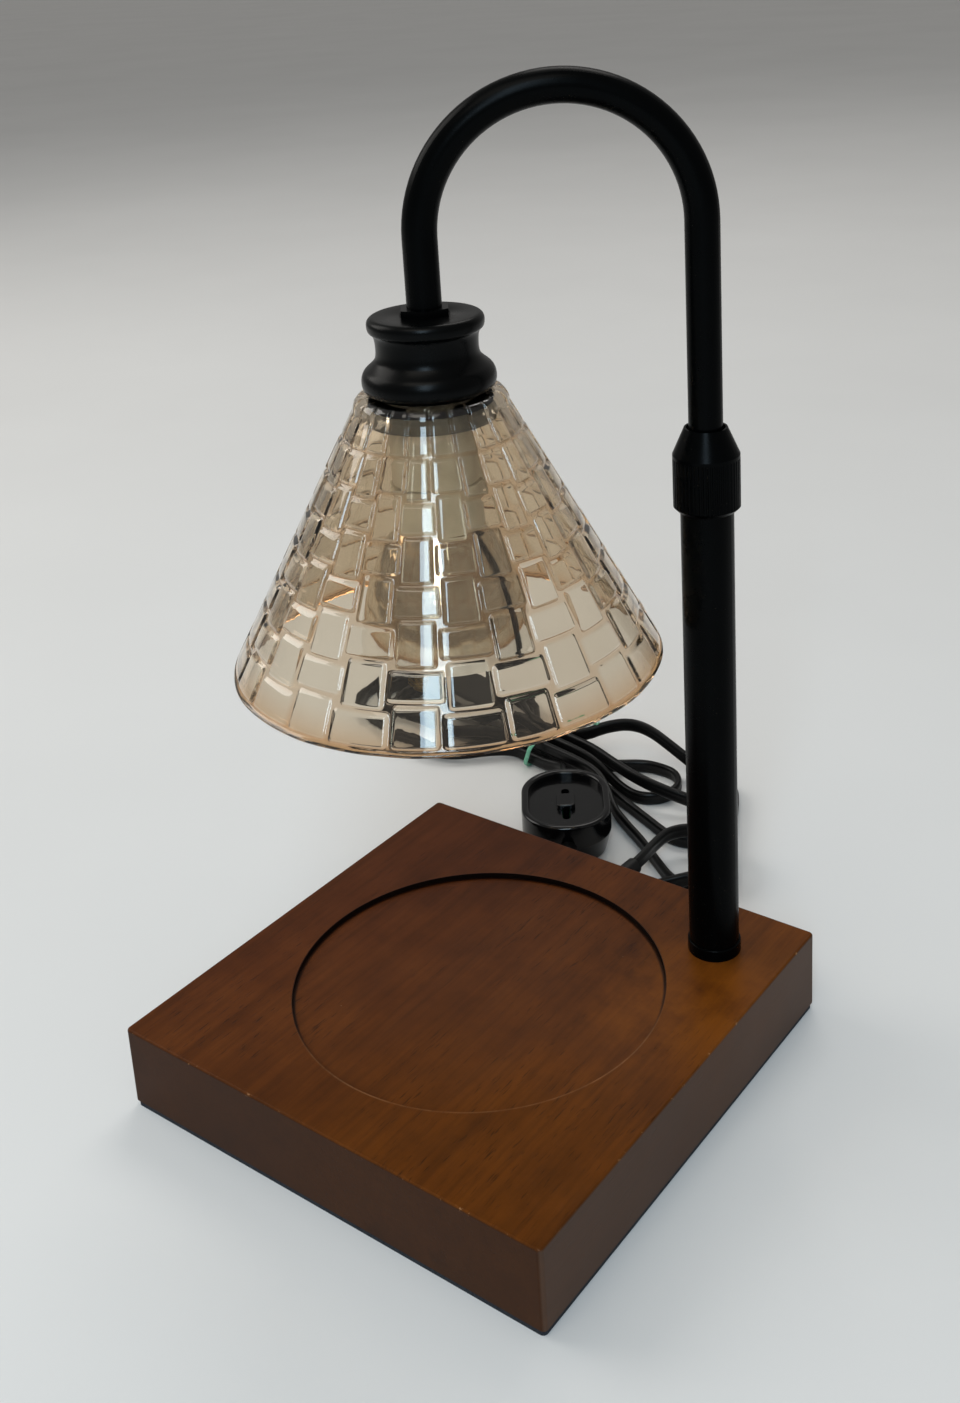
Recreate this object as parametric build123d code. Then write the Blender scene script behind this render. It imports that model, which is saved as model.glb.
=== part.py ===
import math
import os

from build123d import *

# Wooden base and its pad
base_side = 152.0
base_thick = 25.4
base_corner_round = 1.5
base_edge_round = 0.8
pad_thick = 2.0
pad_inset = 0.5
recess_dia = 114.8
recess_depth = 1.8
post_inset = 23.0

# Fastening of the post from below
stud_dia = 9.8
stud_bore = 5.6
stud_hole_gap = 0.3
pocket_dia = 27.0
pocket_depth = 14.0
washer_dia = 22.0
washer_thick = 1.6
nut_flats = 14.0
nut_thick = 5.0
stud_end_gap = 1.2
lead_slot_width = 7.0
lead_slot_depth = 13.5

# Post tube with its foot ring, foot plug and collet
post_dia = 15.4
post_wall = 1.2
post_length = 158.6
foot_ring_wall = 0.5
foot_ring_height = 3.9
foot_plug_height = 16.0
collet_reach = 14.0
collet_head = 5.0
collet_slit = 1.0
collet_slits = 4
collet_lip = 0.6

# Knurled lock collar
collar_dia = 19.3
collar_drop = 12.0
collar_body = 16.8
collar_cone = 7.9
collar_rim_dia = 12.4
collar_bottom_round = 1.2
collar_plain_band = 1.0
knurl_count = 48
knurl_dia = 0.8

# Swan-neck arm
arm_dia = 9.8
arm_wall = 1.2
arm_reach = 76.9
arm_swing_angle = -140.4
arm_rise = 58.9
arm_inserted = 78.7
shade_leg = 20.9
glide_height = 12.0
clip_thick = 1.6
stop_thick = 2.0
run_gap = 0.06
clear_gap = 0.35

# Cap over the shade
cap_height = 21.7
cap_rim_dia = 32.7
cap_waist_dia = 28.0
cap_bulge_dia = 37.7
cap_foot_dia = 32.0
cap_top_flat_dia = 31.0
cap_rim_height = 4.7
cap_rim_middle = 1.9
cap_rim_undercut = 1.05
cap_rim_sweep = 1.8
cap_bulge_height = 8.0
cap_bulge_middle = 3.7
cap_bulge_undercut = 3.2
cap_bulge_sweep = 2.0
cap_bore = 25.4
cap_top_wall = 4.0
cap_nut_flats = 13.0
cap_nut_thick = 2.0
inner_nut_flats = 13.0
inner_nut_thick = 4.0
arm_end_gap = 0.8

# Lamp socket
socket_dia = 24.6
socket_below_cap = 26.0
socket_above_glass = 7.0
bracket_width = 12.0
bracket_thick = 1.0
bracket_inset = 1.8
bracket_foot = 5.0
screw_dia = 3.0
screw_head_dia = 4.2
screw_head_height = 1.6
screw_length = 6.0
pin_spacing = 10.0
pin_dia = 3.0
pin_head_dia = 5.0
pin_head_height = 2.4
pin_length = 7.0
pin_gap = 0.4
twist_angle = 25.0
contact_thick = 1.0

# Glass shade
shade_height = 80.5
shade_neck_dia = 44.5
shade_rim_dia = 126.8
shade_wall = 3.6
shade_shoulder = 4.0
shade_hole_gap = 1.6
shade_lip = 1.8
shade_bead_step = 0.9
shade_band = 7.5
rim_round = 0.9
tile_columns = 24
tile_rows = 7
tile_proud = 1.1
tile_root = 0.6
tile_groove = 0.9
tile_weave = 0.95
tall_tile_angle = 12.4
wide_tile_angle = 15.8
band_tile_angle = 13.8
ring_dia = 34.6
ring_height = 4.5

# Reflector bulb
bulb_dia = 50.0
bulb_length = 49.5
bulb_base_dia = 26.0
bulb_base_length = 13.0
reflector_wall = 1.6
lens_thick = 2.0
capsule_dia = 9.0
capsule_length = 20.0
reflector_bow = 2.0

# Leads inside the lamp
inner_lead_dia = 3.6
post_lead_top = 150.0
lead_slack = 55.0
lead_drop = 5.0
lead_turn = 9.3
lead_bend_share = 0.45

# Mains cord, seen as a round section of the flat cord's bulk
cord_dia = 4.6
cord_rest = 2.75
gland_x = -4.0
gland_height = 12.7
gland_stem = 10.0
gland_stem_dia = 7.2
gland_collar_dia = 11.0
gland_collar_thick = 2.0
gland_taper = 19.0
gland_tip_dia = 6.0

# In-line dimmer
dimmer_length = 44.0
dimmer_width = 34.0
dimmer_height = 18.0
dimmer_corner = 16.0
dimmer_taper = 15.0
dimmer_boss_inset = 7.4
dimmer_wall = 1.8
dimmer_split = 9.0
dimmer_rim = 3.0
dimmer_dish = 3.0
dimmer_relief = 5.0
dimmer_relief_dia = 6.6
relief_lip = 0.4
dimmer_place = (-46.2, 116.0)
dimmer_turn = -54.4
slider_length = 9.0
slider_width = 7.0
slider_height = 1.8
slider_corner = 1.5
slider_round = 0.6
slider_stem_width = 2.4
slider_stem_length = 5.0
slider_travel = 8.0
board_thick = 1.6
board_width = 23.0

# Tied hank of cord: loops run along the hank, drawn in at its tie
hank_place = (-84.0, 162.0)
hank_turn = -10.0
hank_loops = 3
waist_step = 6.0
waist_layer = 5.6
waist_half = 6.0
tie_dia = 1.4
tie_gap = 0.4
left_fan = 46.0
left_run = 34.0
left_step = 9.0
left_half_inner = 12.0
left_middle = -4.0
tie_tail = 16.0
arch_height = 14.0
dip_height = 5.0
lower_layer = tie_dia + tie_gap + cord_dia / 2
upper_layer = lower_layer + waist_layer

# Right side of each loop from the tie and back: along, across, height and heading of each key point
outer_right_side = (
    (27.0, 30.0, arch_height, 0.0),
    (67.2, 30.0, cord_rest, 0.0),
    (77.4, 25.0, cord_rest, -51.9),
    (111.0, -18.0, cord_rest, -51.9),
    (98.5, -36.0, cord_rest, 158.2),
    (57.0, -19.4, cord_rest, 158.2),
    (24.0, -6.0, upper_layer, 180.0),
)
middle_right_side = (
    (48.0, 4.5, upper_layer, 0.0),
    (75.0, 9.0, dip_height, 0.0),
    (87.0, -2.5, cord_rest, -90.0),
    (74.7, -12.8, cord_rest, 170.0),
    (44.0, -7.4, cord_rest, 170.0),
    (16.0, -3.0, lower_layer, 180.0),
)
inner_right_side = (
    (45.0, 18.5, cord_rest, 0.0),
    (54.0, 9.5, cord_rest, -90.0),
    (45.0, 0.5, cord_rest, 180.0),
    (38.0, 0.5, cord_rest, 180.0),
    (20.0, 0.0, upper_layer, 180.0),
)
right_sides = (outer_right_side, middle_right_side, inner_right_side)

# Plug lying on the hank
plug_length = 34.0
plug_width = 24.0
plug_thick = 13.0
plug_relief = 10.0
plug_relief_dia = 7.0
plug_front_round = 1.5
blade_length = 17.0
blade_width = 6.4
blade_thick = 1.6
blade_spacing = 12.7

# Heights and places that follow from the sizes
top_z = pad_thick + base_thick
post_xy = base_side / 2 - post_inset
post_r = post_dia / 2
post_bore_r = post_r - post_wall
post_top_z = top_z + post_length
arm_r = arm_dia / 2
arm_bore_r = arm_r - arm_wall
collar_bottom_z = post_top_z - collar_drop
collar_top_z = collar_bottom_z + collar_body + collar_cone
bend_z = collar_top_z + arm_rise
bend_r = arm_reach / 2
arm_bottom_z = collar_top_z - arm_inserted
cap_top_z = bend_z - shade_leg
glass_top_z = cap_top_z - cap_height
rim_z = glass_top_z - shade_height
socket_top_z = glass_top_z + socket_above_glass
socket_face_z = glass_top_z - socket_below_cap
bulb_top_z = socket_face_z - clear_gap
pocket_top_z = pad_thick + pocket_depth
arm_direction = Vector(1, 0, 0).rotate(Axis.Z, arm_swing_angle)
post_axis = Vector(post_xy, post_xy, 0)
shade_axis = post_axis + arm_direction * arm_reach
socket_turn = arm_swing_angle + 90.0


def ring(outer_r, inner_r, bottom, height, place):
    """A plain tube standing at a place."""
    section = Circle(outer_r) - Circle(inner_r)
    return Pos(place.X, place.Y, bottom) * extrude(section, height)


def rod(radius, bottom, height, place):
    """A plain rod standing at a place."""
    return Pos(place.X, place.Y, bottom) * extrude(Circle(radius), height)


def hexagon(flats, bore_r, bottom, height, place):
    """A hexagon nut with a plain bore."""
    section = RegularPolygon(flats / 2, 6, major_radius=False) - Circle(bore_r)
    return Pos(place.X, place.Y, bottom) * extrude(section, height)


def turned(points, place):
    """A turned piece from a closed outline of radius and height pairs."""
    outline = Plane.XZ * make_face(Polyline(*points, close=True))
    return Pos(place.X, place.Y, 0) * revolve(outline, Axis.Z)


def save(name, shape):
    """Write one sub-part."""
    export_step(shape, f"parts/{name}.step")


# Wooden block with the candle recess, the post's hole and pocket, and the channel for the lead
def make_base_block():
    section = RectangleRounded(base_side, base_side, base_corner_round)
    block = Pos(0, 0, pad_thick) * extrude(section, base_thick)
    block = fillet(block.faces().sort_by(Axis.Z)[-1].edges(), base_edge_round)
    block -= Pos(0, 0, top_z - recess_depth) * extrude(Circle(recess_dia / 2), recess_depth)
    block -= rod(stud_dia / 2 + stud_hole_gap, pad_thick, base_thick, post_axis)
    block -= rod(pocket_dia / 2, pad_thick, pocket_depth, post_axis)
    start = Vector(gland_x, base_side / 2 - gland_stem - lead_slot_width, 0)
    slot = SlotCenterToCenter((post_axis - start).length, lead_slot_width)
    middle = (post_axis + start) * 0.5
    heading = math.degrees(math.atan2(post_axis.Y - start.Y, post_axis.X - start.X))
    block -= Pos(middle.X, middle.Y, pad_thick) * Rot(0, 0, heading) * extrude(slot, lead_slot_depth)
    side_hole = Plane((gland_x, base_side / 2, gland_height), z_dir=(0, -1, 0)) * Circle(gland_stem_dia / 2)
    block -= extrude(side_hole, gland_stem + lead_slot_width)
    return block


def make_base_pad():
    side = base_side - 2 * pad_inset
    return extrude(RectangleRounded(side, side, base_corner_round), pad_thick)


# Hollow stud, washer and nut that pull the post down on the block
stud_bottom_z = pocket_top_z - washer_thick - nut_thick - stud_end_gap


def make_post_stud():
    height = top_z + foot_plug_height - stud_bottom_z
    return ring(stud_dia / 2, stud_bore / 2, stud_bottom_z, height, post_axis)


def make_stud_washer():
    return ring(washer_dia / 2, stud_dia / 2, pocket_top_z - washer_thick, washer_thick, post_axis)


def make_stud_nut():
    return hexagon(nut_flats, stud_dia / 2, pocket_top_z - washer_thick - nut_thick, nut_thick, post_axis)


def make_foot_plug():
    return ring(post_bore_r, stud_dia / 2, top_z, foot_plug_height, post_axis)


def make_foot_ring():
    body = ring(post_r + foot_ring_wall, post_r, top_z, foot_ring_height, post_axis)
    rim = body.edges().filter_by(GeomType.CIRCLE).sort_by(Axis.Z)[-2:].sort_by(SortBy.RADIUS)[-1]
    return fillet(rim, foot_ring_wall * 0.8)


def make_post_tube():
    return ring(post_r, post_bore_r, top_z, post_length, post_axis)


# Split collet: a sleeve in the tube with a conical head that the collar closes on the arm
def make_collet():
    bore = arm_r + run_gap
    head_top_r = bore + collet_lip
    body = turned(
        [
            (bore, post_top_z - collet_reach),
            (post_bore_r, post_top_z - collet_reach),
            (post_bore_r, post_top_z),
            (head_top_r, post_top_z + collet_head),
            (bore, post_top_z + collet_head),
        ],
        post_axis,
    )
    slit_depth = collet_reach * 0.6 + collet_head
    slit = Box(post_dia, collet_slit, slit_depth)
    for index in range(collet_slits // 2):
        turn = Rot(0, 0, index * 360.0 / collet_slits)
        height = post_top_z + collet_head - slit_depth / 2
        body -= Pos(post_axis.X, post_axis.Y, height) * turn * slit
    return body


# Collar: knurled body, smooth cone, bore that clears the tube and the collet
def make_lock_collar():
    outer_r = collar_dia / 2
    cone_z = collar_bottom_z + collar_body
    tube_clear_r = post_r + clear_gap
    shelf_z = post_top_z + clear_gap
    mouth_r = arm_r + 2 * clear_gap
    body = turned(
        [
            (tube_clear_r, collar_bottom_z),
            (outer_r - collar_bottom_round, collar_bottom_z),
            (outer_r, collar_bottom_z + collar_bottom_round),
            (outer_r, cone_z),
            (collar_rim_dia / 2, collar_top_z),
            (mouth_r, collar_top_z),
            (mouth_r, post_top_z + collet_head + clear_gap),
            (post_bore_r + clear_gap, shelf_z),
            (tube_clear_r, shelf_z),
        ],
        post_axis,
    )
    groove = Circle(knurl_dia / 2)
    cuts = PolarLocations(outer_r + knurl_dia * 0.2, knurl_count) * groove
    height = collar_body - collar_plain_band - collar_bottom_round
    bottom = collar_bottom_z + collar_bottom_round
    return body - Pos(post_axis.X, post_axis.Y, bottom) * extrude(Sketch() + cuts, height)


# Swan-neck arm: straight leg, half circle, short leg into the cap
arm_end_z = cap_top_z - cap_top_wall - bracket_thick - inner_nut_thick - arm_end_gap


def arm_path(bottom, end):
    """The arm's middle line from a height in the post to a height at the shade."""
    foot = post_axis + Vector(0, 0, bottom)
    spring = post_axis + Vector(0, 0, bend_z)
    far_spring = shade_axis + Vector(0, 0, bend_z)
    tip = shade_axis + Vector(0, 0, end)
    bend = TangentArc(spring, far_spring, tangent=(0, 0, 1))
    return Wire([Line(foot, spring), bend, Line(far_spring, tip)])


def make_arm_tube():
    path = arm_path(arm_bottom_z, arm_end_z)
    section = Plane(post_axis + Vector(0, 0, arm_bottom_z)) * (Circle(arm_r) - Circle(arm_bore_r))
    return sweep(section, path=path)


def make_arm_lead():
    bottom = post_lead_top + lead_slack
    path = arm_path(bottom, socket_top_z)
    section = Plane(post_axis + Vector(0, 0, bottom)) * Circle(inner_lead_dia / 2)
    return sweep(section, path=path)


# Glide ring that centres the arm in the post, held between an end stop and a clip
glide_bottom_z = arm_bottom_z + stop_thick + clear_gap
sleeve_r = post_bore_r - clear_gap


def make_arm_glide():
    return ring(post_bore_r - run_gap, arm_r + run_gap, glide_bottom_z, glide_height, post_axis)


def make_arm_end_stop():
    return ring(sleeve_r, arm_r, arm_bottom_z, stop_thick, post_axis)


def make_arm_clip():
    bottom = glide_bottom_z + glide_height + clear_gap
    return ring(sleeve_r, arm_r, bottom, clip_thick, post_axis)


# Cap: flat disc, drawn-in straight waist and round bulge over a plain bore
def make_cap():
    waist_r = cap_waist_dia / 2
    shoulder_height = glass_top_z + cap_bulge_height
    rim_height = cap_top_z - cap_rim_height
    foot = (cap_foot_dia / 2, glass_top_z)
    bulge = (cap_bulge_dia / 2, glass_top_z + cap_bulge_middle)
    shoulder = (cap_bulge_dia / 2 - cap_bulge_undercut, shoulder_height)
    waist_low = (waist_r, shoulder_height + cap_bulge_sweep)
    waist_high = (waist_r, rim_height - cap_rim_sweep)
    rim_low = (cap_rim_dia / 2 - cap_rim_undercut, rim_height)
    rim = (cap_rim_dia / 2, cap_top_z - cap_rim_middle)
    top_edge = (cap_top_flat_dia / 2, cap_top_z)
    outline = [
        ThreePointArc(foot, bulge, shoulder),
        TangentArc(waist_low, shoulder, tangent=(0, -1)),
        Line(waist_low, waist_high),
        TangentArc(waist_high, rim_low, tangent=(0, 1)),
        ThreePointArc(rim_low, rim, top_edge),
        Polyline(
            top_edge,
            (arm_r, cap_top_z),
            (arm_r, cap_top_z - cap_top_wall),
            (cap_bore / 2, cap_top_z - cap_top_wall),
            (cap_bore / 2, glass_top_z),
            foot,
        ),
    ]
    face = Plane.XZ * make_face(outline)
    return Pos(shade_axis.X, shade_axis.Y, 0) * revolve(face, Axis.Z)


def make_cap_nut():
    nut = hexagon(cap_nut_flats, arm_r, cap_top_z, cap_nut_thick, Vector(0, 0, 0))
    return Pos(shade_axis.X, shade_axis.Y, 0) * Rot(0, 0, socket_turn) * nut


bracket_top_z = cap_top_z - cap_top_wall


def make_inner_nut():
    bottom = bracket_top_z - bracket_thick - inner_nut_thick
    nut = hexagon(inner_nut_flats, arm_r, bottom, inner_nut_thick, Vector(0, 0, 0))
    return Pos(shade_axis.X, shade_axis.Y, 0) * Rot(0, 0, socket_turn) * nut


# Bracket: a strap under the cap's top whose two feet are screwed to the socket
leg_out = cap_bore / 2 - bracket_inset
leg_in = leg_out - bracket_thick
screw_x = leg_in - bracket_foot / 2


def at_socket(shape):
    """Place a piece that was made round the origin on the shade's axis, turned with the arm."""
    return Pos(shade_axis.X, shade_axis.Y, 0) * Rot(0, 0, socket_turn) * shape


def make_socket_bracket():
    height = bracket_top_z - socket_top_z
    strap = Box(2 * leg_out, bracket_width, height)
    inside = Pos(0, 0, -bracket_thick) * Box(2 * leg_in, bracket_width, height)
    strap = Pos(0, 0, socket_top_z + height / 2) * (strap - inside)
    foot = Box(bracket_foot, bracket_width, bracket_thick)
    for side in (-1, 1):
        strap += Pos(side * screw_x, 0, socket_top_z + bracket_thick / 2) * foot
        strap -= Pos(side * screw_x, 0, socket_top_z) * extrude(Circle(screw_dia / 2), bracket_thick)
    strap -= Pos(0, 0, socket_top_z) * extrude(Circle(arm_r), height)
    return at_socket(strap)


def make_socket_screws():
    head_z = socket_top_z + bracket_thick
    screw = Pos(0, 0, head_z - screw_length) * extrude(Circle(screw_dia / 2), screw_length)
    screw += Pos(0, 0, head_z) * extrude(Circle(screw_head_dia / 2), screw_head_height)
    return at_socket(Compound([Pos(side * screw_x, 0, 0) * screw for side in (-1, 1)]))


# Socket: round body whose two curved keyholes take the bulb's pins
slot_lip = 2.4
slot_depth = pin_length + pin_gap


def keyhole_arc(side):
    """Middle line of one pin's way, from the locked place to the way in."""
    start = 90.0 + side * 90.0
    return CenterArc((0, 0), pin_spacing / 2, start, twist_angle)


def make_lamp_socket():
    height = socket_top_z - socket_face_z
    body = Pos(0, 0, socket_face_z) * extrude(Circle(socket_dia / 2), height)
    head_z = socket_face_z + slot_lip
    for side in (-1, 1):
        arc = keyhole_arc(side)
        narrow = SlotArc(arc, pin_dia + 2 * pin_gap)
        wide = SlotArc(arc, pin_head_dia + 2 * pin_gap)
        way_in = Pos(arc @ 1) * Circle(pin_head_dia / 2 + pin_gap)
        body -= Pos(0, 0, socket_face_z) * extrude(narrow, slot_lip)
        body -= Pos(0, 0, socket_face_z) * extrude(way_in, slot_lip)
        body -= Pos(0, 0, head_z) * extrude(wide, slot_depth - slot_lip + contact_thick)
        screw_hole = extrude(Circle(screw_dia / 2), screw_length)
        body -= Pos(side * screw_x, 0, socket_top_z - screw_length) * screw_hole
    return at_socket(body)


def make_socket_contacts():
    bottom = socket_face_z + slot_depth
    plates = []
    for side in (-1, 1):
        plate = SlotArc(keyhole_arc(side), pin_head_dia)
        plates.append(Pos(0, 0, bottom) * extrude(plate, contact_thick))
    return at_socket(Compound(plates))


# Glass shade: flat top with the socket's hole, rounded shoulder, cone under raised tiles, bead round the rim
shade_slope = math.atan2((shade_rim_dia - shade_neck_dia) / 2, shade_height - shade_shoulder)
shoulder_z = glass_top_z - shade_shoulder
tile_step = 360.0 / tile_columns


def shade_radius(height):
    """Radius over the shade's tiles at a height."""
    return shade_rim_dia / 2 - (height - rim_z) * math.tan(shade_slope)


def shade_tile(bottom, top, angle):
    """One raised tile between two heights and as wide as an angle, rooted in the cone's wall."""
    root = tile_proud + tile_root
    outline = Polyline(
        (shade_radius(bottom) - root, bottom),
        (shade_radius(bottom), bottom),
        (shade_radius(top), top),
        (shade_radius(top) - root, top),
        close=True,
    )
    tile = revolve(Plane.XZ * make_face(outline), Axis.Z, revolution_arc=angle)
    return Pos(shade_axis.X, shade_axis.Y, 0) * Rot(0, 0, -angle / 2) * tile


def round_shade(tile, columns):
    """Copies of a tile in the given columns round the shade."""
    axis = Axis(shade_axis, (0, 0, 1))
    return [tile.rotate(axis, column * tile_step) for column in columns]


def shade_tiles():
    """A weave of tall and wide tiles, turn by turn in rows and columns, and a band of plain ones above."""
    first_z = rim_z + shade_lip
    band_z = shoulder_z - shade_band
    row_height = (band_z - first_z) / tile_rows
    tiles = []
    for row in range(tile_rows):
        below = tile_weave if row else 0
        above = tile_weave if row < tile_rows - 1 else 0
        low = first_z + row * row_height + tile_groove / 2
        high = low + row_height - tile_groove
        tall = shade_tile(low - below, high + above, tall_tile_angle)
        wide = shade_tile(low + below, high - above, wide_tile_angle)
        tiles += round_shade(tall, range(row % 2, tile_columns, 2))
        tiles += round_shade(wide, range(1 - row % 2, tile_columns, 2))
    plain = shade_tile(band_z + tile_groove / 2, shoulder_z, band_tile_angle)
    return tiles + round_shade(plain, range(tile_columns))


def make_glass_shade():
    hole_r = socket_dia / 2 + shade_hole_gap
    neck_r = shade_radius(shoulder_z) - tile_proud
    bead_z = rim_z + shade_lip
    bead_r = shade_radius(rim_z) - shade_bead_step
    wall_across = shade_wall / math.cos(shade_slope)
    inner_top_z = glass_top_z - shade_wall
    cone = turned(
        [
            (hole_r, inner_top_z),
            (hole_r, glass_top_z),
            (neck_r - shade_shoulder * 0.8, glass_top_z),
            (neck_r - shade_shoulder * 0.2, glass_top_z - shade_shoulder * 0.35),
            (neck_r, shoulder_z),
            (shade_radius(bead_z) - tile_proud, bead_z),
            (bead_r, bead_z),
            (bead_r, rim_z),
            (shade_radius(rim_z) - wall_across, rim_z),
            (shade_radius(inner_top_z) - wall_across, inner_top_z),
        ],
        shade_axis,
    )
    rim = cone.edges().filter_by(GeomType.CIRCLE).group_by(Axis.Z)[0]
    return fillet(rim, rim_round) + shade_tiles()


def make_shade_ring():
    inner_top_z = glass_top_z - shade_wall
    return ring(ring_dia / 2, socket_dia / 2, inner_top_z - ring_height, ring_height, shade_axis)


# Bulb: ceramic base, pins, reflector shell, lens and capsule
bulb_rim_z = bulb_top_z - bulb_length
base_bottom_z = bulb_top_z - bulb_base_length
base_r = bulb_base_dia / 2


def make_bulb_base():
    return rod(base_r, base_bottom_z, bulb_base_length, shade_axis)


def make_bulb_pins():
    pin = extrude(Circle(pin_dia / 2), pin_length)
    pin += Pos(0, 0, pin_length - pin_head_height) * extrude(Circle(pin_head_dia / 2), pin_head_height)
    pins = [Pos(keyhole_arc(side) @ 0) * Pos(0, 0, bulb_top_z) * pin for side in (-1, 1)]
    return at_socket(Compound(pins))


def make_bulb_reflector():
    rim_r = bulb_dia / 2
    bow_r = (base_r + rim_r) / 2 + reflector_bow
    bow_z = (base_bottom_z + bulb_rim_z) / 2 + reflector_bow
    wall = reflector_wall
    lens_z = bulb_rim_z + lens_thick
    outside = ThreePointArc((base_r, base_bottom_z), (bow_r, bow_z), (rim_r, lens_z))
    throat = (base_r - wall, base_bottom_z - wall)
    inside = ThreePointArc((rim_r - wall, lens_z), (bow_r - wall, bow_z), throat)
    outline = [
        outside,
        Polyline((rim_r, lens_z), (rim_r, bulb_rim_z), (rim_r - wall, bulb_rim_z), (rim_r - wall, lens_z)),
        inside,
        Polyline(
            throat,
            (capsule_dia / 2, base_bottom_z - wall),
            (capsule_dia / 2, base_bottom_z),
            (base_r, base_bottom_z),
        ),
    ]
    face = Plane.XZ * make_face(outline)
    return Pos(shade_axis.X, shade_axis.Y, 0) * revolve(face, Axis.Z)


def make_bulb_lens():
    return rod(bulb_dia / 2 - reflector_wall, bulb_rim_z, lens_thick, shade_axis)


def make_bulb_capsule():
    body = rod(capsule_dia / 2, base_bottom_z - capsule_length, capsule_length, shade_axis)
    return fillet(body.edges().filter_by(GeomType.CIRCLE).sort_by(Axis.Z)[0], capsule_dia * 0.45)


# Lead in the base and post: from the strain relief along the channel and up through the stud
def make_post_lead():
    inner_y = base_side / 2 - gland_stem
    low_z = pad_thick + inner_lead_dia / 2 + clear_gap
    channel_start = Vector(gland_x, inner_y - lead_slot_width, 0)
    along = (post_axis - channel_start).normalized()
    points = [
        Vector(gland_x, inner_y, gland_height),
        Vector(gland_x, inner_y - lead_drop, gland_height),
        channel_start + along * 6.0 + Vector(0, 0, low_z + lead_drop),
        channel_start + along * 20.0 + Vector(0, 0, low_z + 1.0),
        post_axis - along * lead_turn + Vector(0, 0, low_z),
        post_axis + Vector(0, 0, low_z),
        post_axis + Vector(0, 0, post_lead_top),
    ]
    return tube(points, inner_lead_dia)


# Tubes along a route of points
def corner_radii(points):
    """Radius at each corner: a share of the shorter run over the tangent of half the turn."""
    radii = []
    for before, corner, after in zip(points, points[1:], points[2:]):
        first = corner - before
        second = after - corner
        half_turn = math.radians(first.get_angle(second)) / 2
        radii.append(lead_bend_share * min(first.length, second.length) / math.tan(half_turn))
    return radii


def tube(points, diameter):
    """A round tube along straight runs joined by tangent arcs."""
    path = FilletPolyline(*points, radius=corner_radii(points))
    section = Plane(points[0], z_dir=points[1] - points[0]) * Circle(diameter / 2)
    return sweep(section, path=path)


# Strain relief in the back face
def make_cord_gland():
    stem_r = gland_stem_dia / 2
    collar_r = gland_collar_dia / 2
    outline = Polyline(
        (0, -gland_stem),
        (stem_r, -gland_stem),
        (stem_r, 0),
        (collar_r, 0),
        (collar_r, gland_collar_thick),
        (stem_r, gland_collar_thick),
        (gland_tip_dia / 2, gland_collar_thick + gland_taper),
        (0, gland_collar_thick + gland_taper),
        close=True,
    )
    relief = revolve(Plane.XZ * make_face(outline), Axis.Z)
    return Plane((gland_x, base_side / 2, gland_height), z_dir=(0, 1, 0)) * relief


# Dimmer: dished oval case with a raised rim, in two shells, board, slider, screws and strain reliefs
dimmer_frame = Pos(dimmer_place[0], dimmer_place[1], 0) * Rot(0, 0, dimmer_turn)
dimmer_axis = Vector(1, 0, 0).rotate(Axis.Z, dimmer_turn)
dimmer_middle = Vector(dimmer_place[0], dimmer_place[1], dimmer_split)
slot_half = slider_travel + slider_stem_length / 2 + clear_gap


def dimmer_section(inset):
    """The case's rounded outline, drawn in by an inset."""
    return RectangleRounded(dimmer_length - 2 * inset, dimmer_width - 2 * inset, dimmer_corner - inset)


def dimmer_tub(inset, depth):
    """A solid of the case's outline, narrowing from the parting line down."""
    outline = Pos(0, 0, dimmer_split) * dimmer_section(inset)
    return extrude(outline, depth, dir=(0, 0, -1), taper=dimmer_taper)


def make_dimmer_lower():
    shell = dimmer_tub(0, dimmer_split)
    shell = fillet(shell.faces().sort_by(Axis.Z)[0].edges(), dimmer_wall)
    shell -= dimmer_tub(dimmer_wall, dimmer_split - dimmer_wall)
    for side in (-1, 1):
        boss_x = side * (dimmer_length / 2 - dimmer_boss_inset)
        shell += Pos(boss_x, 0, 0) * extrude(Circle(screw_dia), dimmer_split)
        shell -= Pos(boss_x, 0, 0) * extrude(Circle(screw_dia / 2), dimmer_split)
        shell -= Pos(boss_x, 0, 0) * extrude(Circle(screw_head_dia / 2), screw_head_height)
    return dimmer_frame * shell


def make_dimmer_upper():
    rise = dimmer_height - dimmer_split
    shell = Pos(0, 0, dimmer_split) * extrude(dimmer_section(0), rise)
    shell -= Pos(0, 0, dimmer_height - dimmer_dish) * extrude(dimmer_section(dimmer_rim), dimmer_dish)
    shell = fillet(shell.faces().sort_by(Axis.Z)[-1].edges(), dimmer_rim * 0.4)
    inside = rise - dimmer_dish - dimmer_wall
    shell -= Pos(0, 0, dimmer_split) * extrude(dimmer_section(dimmer_wall), inside)
    slot = SlotOverall(2 * slot_half + clear_gap, slider_stem_width + 2 * clear_gap)
    shell -= Pos(0, 0, dimmer_split) * extrude(slot, rise)
    for side in (-1, 1):
        boss_x = side * (dimmer_length / 2 - dimmer_boss_inset)
        boss = Circle(screw_dia) - Circle(screw_dia / 2)
        shell += Pos(boss_x, 0, dimmer_split) * extrude(boss, inside)
    return dimmer_frame * shell


def make_dimmer_board():
    length = dimmer_length - 2 * (dimmer_boss_inset + screw_dia + clear_gap)
    height = dimmer_split * 0.5 - dimmer_wall
    post = Box(slider_stem_length, board_width * 0.5, height)
    board = Pos(0, 0, dimmer_split * 0.5 + board_thick / 2) * Box(length, board_width, board_thick)
    board += Pos(0, 0, dimmer_wall + height / 2) * post
    return dimmer_frame * board


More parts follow.
